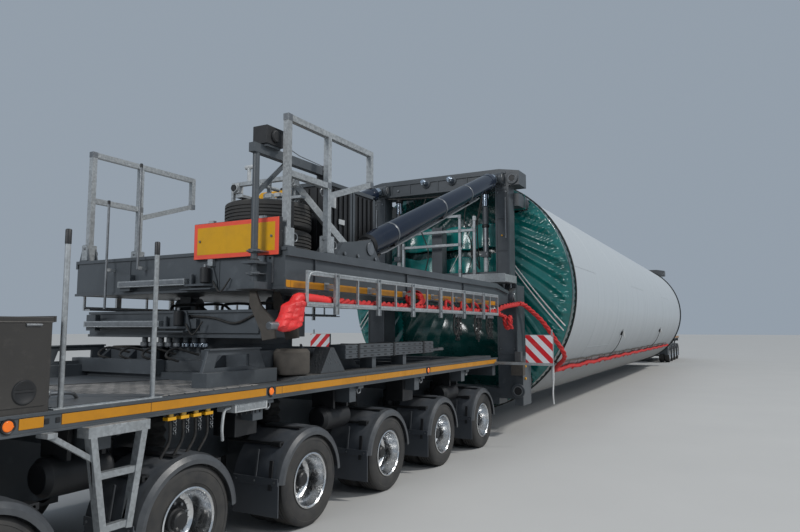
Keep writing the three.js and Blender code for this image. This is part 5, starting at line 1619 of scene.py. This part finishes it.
def make_rack_hose():
    """The red bundle lies in the right rack and arches to the mast's foot, with a small coil at the rack's end."""
    y, lying = -1.407, 1.982
    route = [(-0.74, y, 1.99), (-0.56, y, 2.005)]
    route += [(0.1 + i * 0.33, y + (0.002 if i % 2 else -0.002), lying) for i in range(12)]
    route += [(4.16, y - 0.003, 2.0), (4.34, y - 0.04, 2.06), (4.6, y - 0.08, 2.1), (4.96, y - 0.09, 2.13)]
    shape = Shape(REAR)
    red_line(shape, route, 0.022)
    turns = [(4.4 + 0.085 * cos(a), y - 0.05 - 0.012 * a, 1.83 + 0.085 * sin(a))
             for a in (1.2 + 0.6 * k for k in range(17))]
    red_line(shape, [(4.1, y, 2.0), (4.28, y - 0.03, 1.95)] + turns, 0.022, 0.016, 0.018, 0.2)
    random.seed(11)
    for i in range(4):
        x = 2.3 + i * 0.45 + random.uniform(-0.05, 0.05)
        rise = random.uniform(0.03, 0.12)
        shape.hose([(x, y, lying + 0.02), (x + 0.06, y + 0.01, lying + 0.03 + rise), (x + 0.18, y, lying + rise),
                    (x + 0.26, y - 0.01, lying + 0.02)], 0.018, "red_wrap", 6, 7)
    coil = [(1.4 + 0.17 * cos(a) + k * 0.003, y, lying + 0.1 + 0.08 * sin(a))
            for k, a in enumerate(bearings(13, 27))]
    shape.tube(smooth(coil, 2), 0.02, "red_wrap", 7)
    shape.build("rack_bundle", "rear_platform", ["rack_hose"], edge=0)


def make_tower_bundle(tower):
    """The red bundle that runs along the shell, with a looser brown net sleeve above it."""
    gap = 0.075

    def beside(x, z, off):
        return (x, -sqrt((tower.radius + off) ** 2 - (tower.axis_z - z) ** 2), z)

    route = [(5.015, -1.5, 2.14), (5.2, -1.52, 2.13), (5.4, -1.6, 2.02), (5.55, -1.74, 1.84), (5.64, -1.91, 1.56),
             (5.8, -2.03, 1.27), beside(6.25, 1.06, gap)]
    route += [beside(6.7 + i * 0.8, 1.016 if i % 2 else 0.984, 0.0415) for i in range(24)]
    shape = Shape(REAR)
    red_line(shape, route, 0.034)
    random.seed(5)
    upper = [beside(6.35 + i * 0.4, 1.12 + random.uniform(-0.012, 0.012), 0.016) for i in range(44)]
    shape.tube(smooth(upper, 3), 0.016, "wood_grey", 7)
    for i in range(26):
        x = 6.6 + i * 0.68 + random.uniform(-0.1, 0.1)
        shape.hose([beside(x, 1.03, 0.03), beside(x + 0.09, 0.93, 0.035), beside(x + 0.2, 0.95, 0.03),
                    beside(x + 0.27, 1.02, 0.03)], 0.011, "red_wrap", 5, 6)
        shape.hose([beside(x, 1.0, 0.03), beside(x + 0.02, 1.07, 0.045), beside(x + 0.03, 1.14, 0.02)], 0.006,
                   "wood_grey", 4, 6)
    shape.build("tower_bundle", "load", ["tower_line"], edge=0)


def make_red_bag():
    """The slack end of the red sleeve, folded flat over itself at the back of the rack, and its end fitting."""
    rows, columns = 40, 48
    points = []
    for i in range(rows + 1):
        t = i / rows
        close = min(1.0, 7 * t, 7 * (1 - t)) ** 0.5
        for angle in bearings(columns):
            c, s = cos(angle), sin(angle)
            c, s = copysign(abs(c) ** 0.7, c), copysign(abs(s) ** 0.7, s)
            pleats = sum(exp(-((c - place - 0.12 * sin(4 * t)) / 0.09) ** 2) for place in (-0.3, 0.38))
            cross = 0.10 * exp(-((t - 0.3 - 0.2 * c) / 0.05) ** 2)
            thick = 0.062 * close * (1 - 0.34 * pleats - cross)
            x = (0.165 - 0.045 * t) * close * c
            crease = 0.010 * noise.noise(Vector((x * 9, s * 0.5, t * 7)))
            crease += 0.005 * noise.noise(Vector((x * 30, s, t * 16)))
            points.append((-0.92 + 0.12 * t + x, -1.43 + thick * s + crease, 1.72 + 0.27 * t + 0.1 * x + crease))
    shape = Shape(REAR)
    shape.add(points, quads(rows + 1, columns) + caps(len(points), columns), "red_bag")
    shape.hose([(-0.83, -1.42, 1.93), (-0.76, -1.415, 1.995), (-0.62, -1.41, 2.0), (-0.3, -1.407, 1.985)], 0.046,
               "red_bag", 8, 12)
    piece = shape.build("red_sleeve_end", "rear_platform", edge=0, angle=50)
    fitting = Shape(REAR)
    fitting.pin("x", (-1.42, 1.765), (-1.13, -1.0), 0.034, sides=24)
    fitting.build("sleeve_fitting", "rear_platform", edge=0.002)


def make_chains():
    """Bunches of chain and strap that hang from the right rack."""
    shape = Shape(REAR)
    random.seed(3)
    for x in (2.62, 3.34, 3.8):
        for strand in range(5):
            here = Vector((x + 0.035 * strand, -1.42 + 0.012 * (strand % 2), 1.91))
            for k in range(random.randint(6, 11)):
                link = here + Vector((0.006 * sin(k + strand), 0, -0.034 * k))
                shape.ring(link, (k % 2, 1 - k % 2, 0.2), 0.018, 0.006, "hub_dark", 10)
        shape.hose([(x - 0.05, -1.42, 1.92), (x - 0.1, -1.425, 1.76), (x - 0.02, -1.42, 1.66),
                    (x + 0.05, -1.425, 1.78), (x + 0.02, -1.42, 1.9)], 0.012)
        shape.box((x - 0.06, x + 0.2), (-1.43, -1.4), (1.885, 1.925), ZINC)
    shape.build("rack_chains", "rear_platform", edge=0)


def make_rack_trim():
    """Pressed lips on the racks' channels, the bent tube along their top and clamp plates on the beam."""
    shape = Shape(REAR)
    back, front = -0.69, 4.08
    for side in SIDES:
        for share in (0.09, 0.25, 0.41, 0.565, 0.72, 0.87):
            x = back + share * (front - back)
            for dx in (-0.027, 0.027):
                shape.box(about(x + dx, 0.004), span(side, 1.462, 1.492), (1.868, 2.242), ZINC)
            shape.bolts([(x, side * 1.485, z) for z in (1.95, 2.22)], (0, side, 0), 0.011)
            shape.box(about(x, 0.04), span(side, 1.36, 1.37), (2.09, 2.16), ZINC)
        y = side * 1.465
        bend = smooth([(back + 0.3, y, 2.228), (back + 0.08, y, 2.226), (back + 0.01, y, 2.16), (back, y, 1.96)], 5)
        shape.tube([(front, y, 2.228), *bend], 0.0135, ZINC, 12)
        shape.pin("x", (y, 1.95), (back + 0.01, front - 0.01), 0.0125, ZINC, 12)
    shape.build("rack_trim", "rear_platform")


# Floor, light and camera

def make_stage(sizes):
    scene = bpy.context.scene
    half = sizes.floor
    mesh = bpy.data.meshes.new("floor")
    mesh.from_pydata([(-half, -half, -0.002), (half, -half, -0.002), (half, half, -0.002), (-half, half, -0.002)],
                     [], [(0, 1, 2, 3)])
    paint = Paint("floor_pale")
    paint.set(base_color=paint.mix(paint.cloud(0.6, 5.0), (0.47, 0.47, 0.465), (0.52, 0.52, 0.51)), roughness=0.85)
    mesh.materials.append(paint.material)
    link("floor", mesh)
    world = bpy.data.worlds.new("studio")
    world.use_nodes = True
    sky = world.node_tree.nodes["Background"].inputs
    sky["Color"].default_value = (0.70, 0.82, 0.96, 1)
    sky["Strength"].default_value = 0.42
    scene.world = world
    add_light("key", (-20, -30, 22), 1700, 9, (0.35, 0.2, 0.9))
    add_light("fill", (-44, 2, 16), 3800, 8, (-12, 0, 2))
    sun = bpy.data.lights.new("sun", "SUN")
    sun.energy = 1.7
    sun.angle = radians(6)
    sun.color = (1.0, 0.965, 0.91)
    aim(link("sun", sun), (-0.30, 0.62, -0.72))
    camera = link("camera", bpy.data.cameras.new("camera"))
    camera.data.sensor_width = 36.0
    camera.data.lens = sizes.lens
    camera.data.clip_end = 500.0
    camera.location = sizes.camera_place
    turn, pitch = sizes.camera_turn, sizes.camera_pitch
    aim(camera, (cos(turn) * cos(pitch), sin(turn) * cos(pitch), sin(pitch)))
    scene.camera = camera
    scene.view_settings.view_transform = "Standard"


def add_light(name, place, power, size, target):
    data = bpy.data.lights.new(name, "AREA")
    data.energy = power
    data.size = size
    lamp = link(name, data)
    lamp.location = place
    aim(lamp, Vector(target) - Vector(place))


# Operators

class TransportOperator(Operator):
    """Shared settings of the operators."""

    bl_options = {"UNDO"}


class TRANSPORT_OT_finishes(TransportOperator):
    """Make every finish and give the kept nodes theirs"""

    bl_idname = "transport.finishes"
    bl_label = "Finishes"

    def execute(self, context):
        make_finishes(context.scene.transport_colours)
        dress_nodes(context.scene.transport_bogies.edge)
        return {"FINISHED"}


class TRANSPORT_OT_tower(TransportOperator):
    """Make the tower section's skin and the ties on it"""

    bl_idname = "transport.tower"
    bl_label = "Tower section"

    def execute(self, context):
        make_tower(context.scene.transport_tower)
        make_ties(context.scene.transport_tower)
        return {"FINISHED"}


class TRANSPORT_OT_covers(TransportOperator):
    """Make the sheets over both tower ends, with their ropes and flaps"""

    bl_idname = "transport.covers"
    bl_label = "Sheeted ends"

    def execute(self, context):
        sizes, tower = context.scene.transport_cover, context.scene.transport_tower
        for unit in UNITS:
            make_cover(unit, sizes, tower)
            make_cover_ropes(unit, tower)
        make_flaps()
        return {"FINISHED"}


class TRANSPORT_OT_masts(TransportOperator):
    """Dress both masts and make what hangs on the rear one"""

    bl_idname = "transport.masts"
    bl_label = "Masts"

    def execute(self, context):
        for unit in UNITS:
            make_mast_trim(unit)
        make_mast_fittings()
        return {"FINISHED"}


class TRANSPORT_OT_cylinders(TransportOperator):
    """Make the lift cylinders' barrels and rods"""

    bl_idname = "transport.cylinders"
    bl_label = "Lift cylinders"

    def execute(self, context):
        for unit in UNITS:
            make_lift_cylinders(unit)
        return {"FINISHED"}


class TRANSPORT_OT_platforms(TransportOperator):
    """Dress both platforms and make what stands on the rear one"""

    bl_idname = "transport.platforms"
    bl_label = "Platforms"

    def execute(self, context):
        for unit in UNITS:
            make_platform_trim(unit)
        make_rail_fittings()
        make_davit_trim()
        make_davit_seat()
        make_sign()
        make_lamp_bars()
        make_power_pack()
        make_cabinet("cabinet_back")
        make_cabinet("cabinet_front")
        make_spare_tyres()
        return {"FINISHED"}


class TRANSPORT_OT_lines(TransportOperator):
    """Make the red bundles, the sleeve end, the chains and the racks' lips"""

    bl_idname = "transport.lines"
    bl_label = "Racks and lines"

    def execute(self, context):
        make_rack_hose()
        make_tower_bundle(context.scene.transport_tower)
        make_red_bag()
        make_chains()
        make_rack_trim()
        return {"FINISHED"}


class TRANSPORT_OT_turntables(TransportOperator):
    """Dress both turntables and bolsters"""

    bl_idname = "transport.turntables"
    bl_label = "Turntables"

    def execute(self, context):
        for unit in UNITS:
            make_turntable(unit)
        return {"FINISHED"}


class TRANSPORT_OT_bogies(TransportOperator):
    """Make guards, side members, the deck and the rear bogie's fittings"""

    bl_idname = "transport.bogies"
    bl_label = "Bogies"

    def execute(self, context):
        sizes = context.scene.transport_bogies
        for unit in UNITS:
            make_side_members(unit, sizes)
            for hand in HANDS:
                make_guards(unit, hand, sizes)
        make_bogie_services()
        make_deck()
        make_toolbox_trim()
        make_yard_fittings()
        make_markers()
        return {"FINISHED"}


class TRANSPORT_OT_wheels(TransportOperator):
    """Make the wheelset and set it on every axle"""

    bl_idname = "transport.wheels"
    bl_label = "Wheels"

    def execute(self, context):
        make_wheels(context.scene.transport_wheels)
        return {"FINISHED"}


class TRANSPORT_OT_stage(TransportOperator):
    """Make the floor, the light and the camera"""

    bl_idname = "transport.stage"
    bl_label = "Stage"

    def execute(self, context):
        make_stage(context.scene.transport_stage)
        return {"FINISHED"}


STEPS = (TRANSPORT_OT_stage, TRANSPORT_OT_finishes, TRANSPORT_OT_tower, TRANSPORT_OT_covers, TRANSPORT_OT_masts,
         TRANSPORT_OT_cylinders, TRANSPORT_OT_platforms, TRANSPORT_OT_lines, TRANSPORT_OT_turntables,
         TRANSPORT_OT_bogies, TRANSPORT_OT_wheels)
GROUPS = {"transport_tower": TowerSizes, "transport_cover": CoverSizes, "transport_wheels": WheelSizes,
          "transport_bogies": BogieSizes, "transport_colours": Colours, "transport_stage": StageSizes}


class TRANSPORT_PT_panel(Panel):
    """The steps and their settings, in the sidebar"""

    bl_label = "Tower section transport"
    bl_idname = "TRANSPORT_PT_panel"
    bl_space_type = "VIEW_3D"
    bl_region_type = "UI"
    bl_category = "Transport"

    def draw(self, context):
        for step in STEPS:
            self.layout.operator(step.bl_idname)
        for name, group in GROUPS.items():
            settings = self.layout.box()
            for prop in group.__annotations__:
                settings.prop(getattr(context.scene, name), prop)


def register():
    for made in (*GROUPS.values(), *STEPS, TRANSPORT_PT_panel):
        bpy.utils.register_class(made)
    for name, group in GROUPS.items():
        setattr(bpy.types.Scene, name, PointerProperty(type=group))


def unregister():
    for name in GROUPS:
        delattr(bpy.types.Scene, name)
    for made in (TRANSPORT_PT_panel, *reversed(STEPS), *reversed(tuple(GROUPS.values()))):
        bpy.utils.unregister_class(made)


def main():
    register()
    for step in STEPS:
        group, name = step.bl_idname.split(".")
        getattr(getattr(bpy.ops, group), name)()


if __name__ == "__main__":
    main()
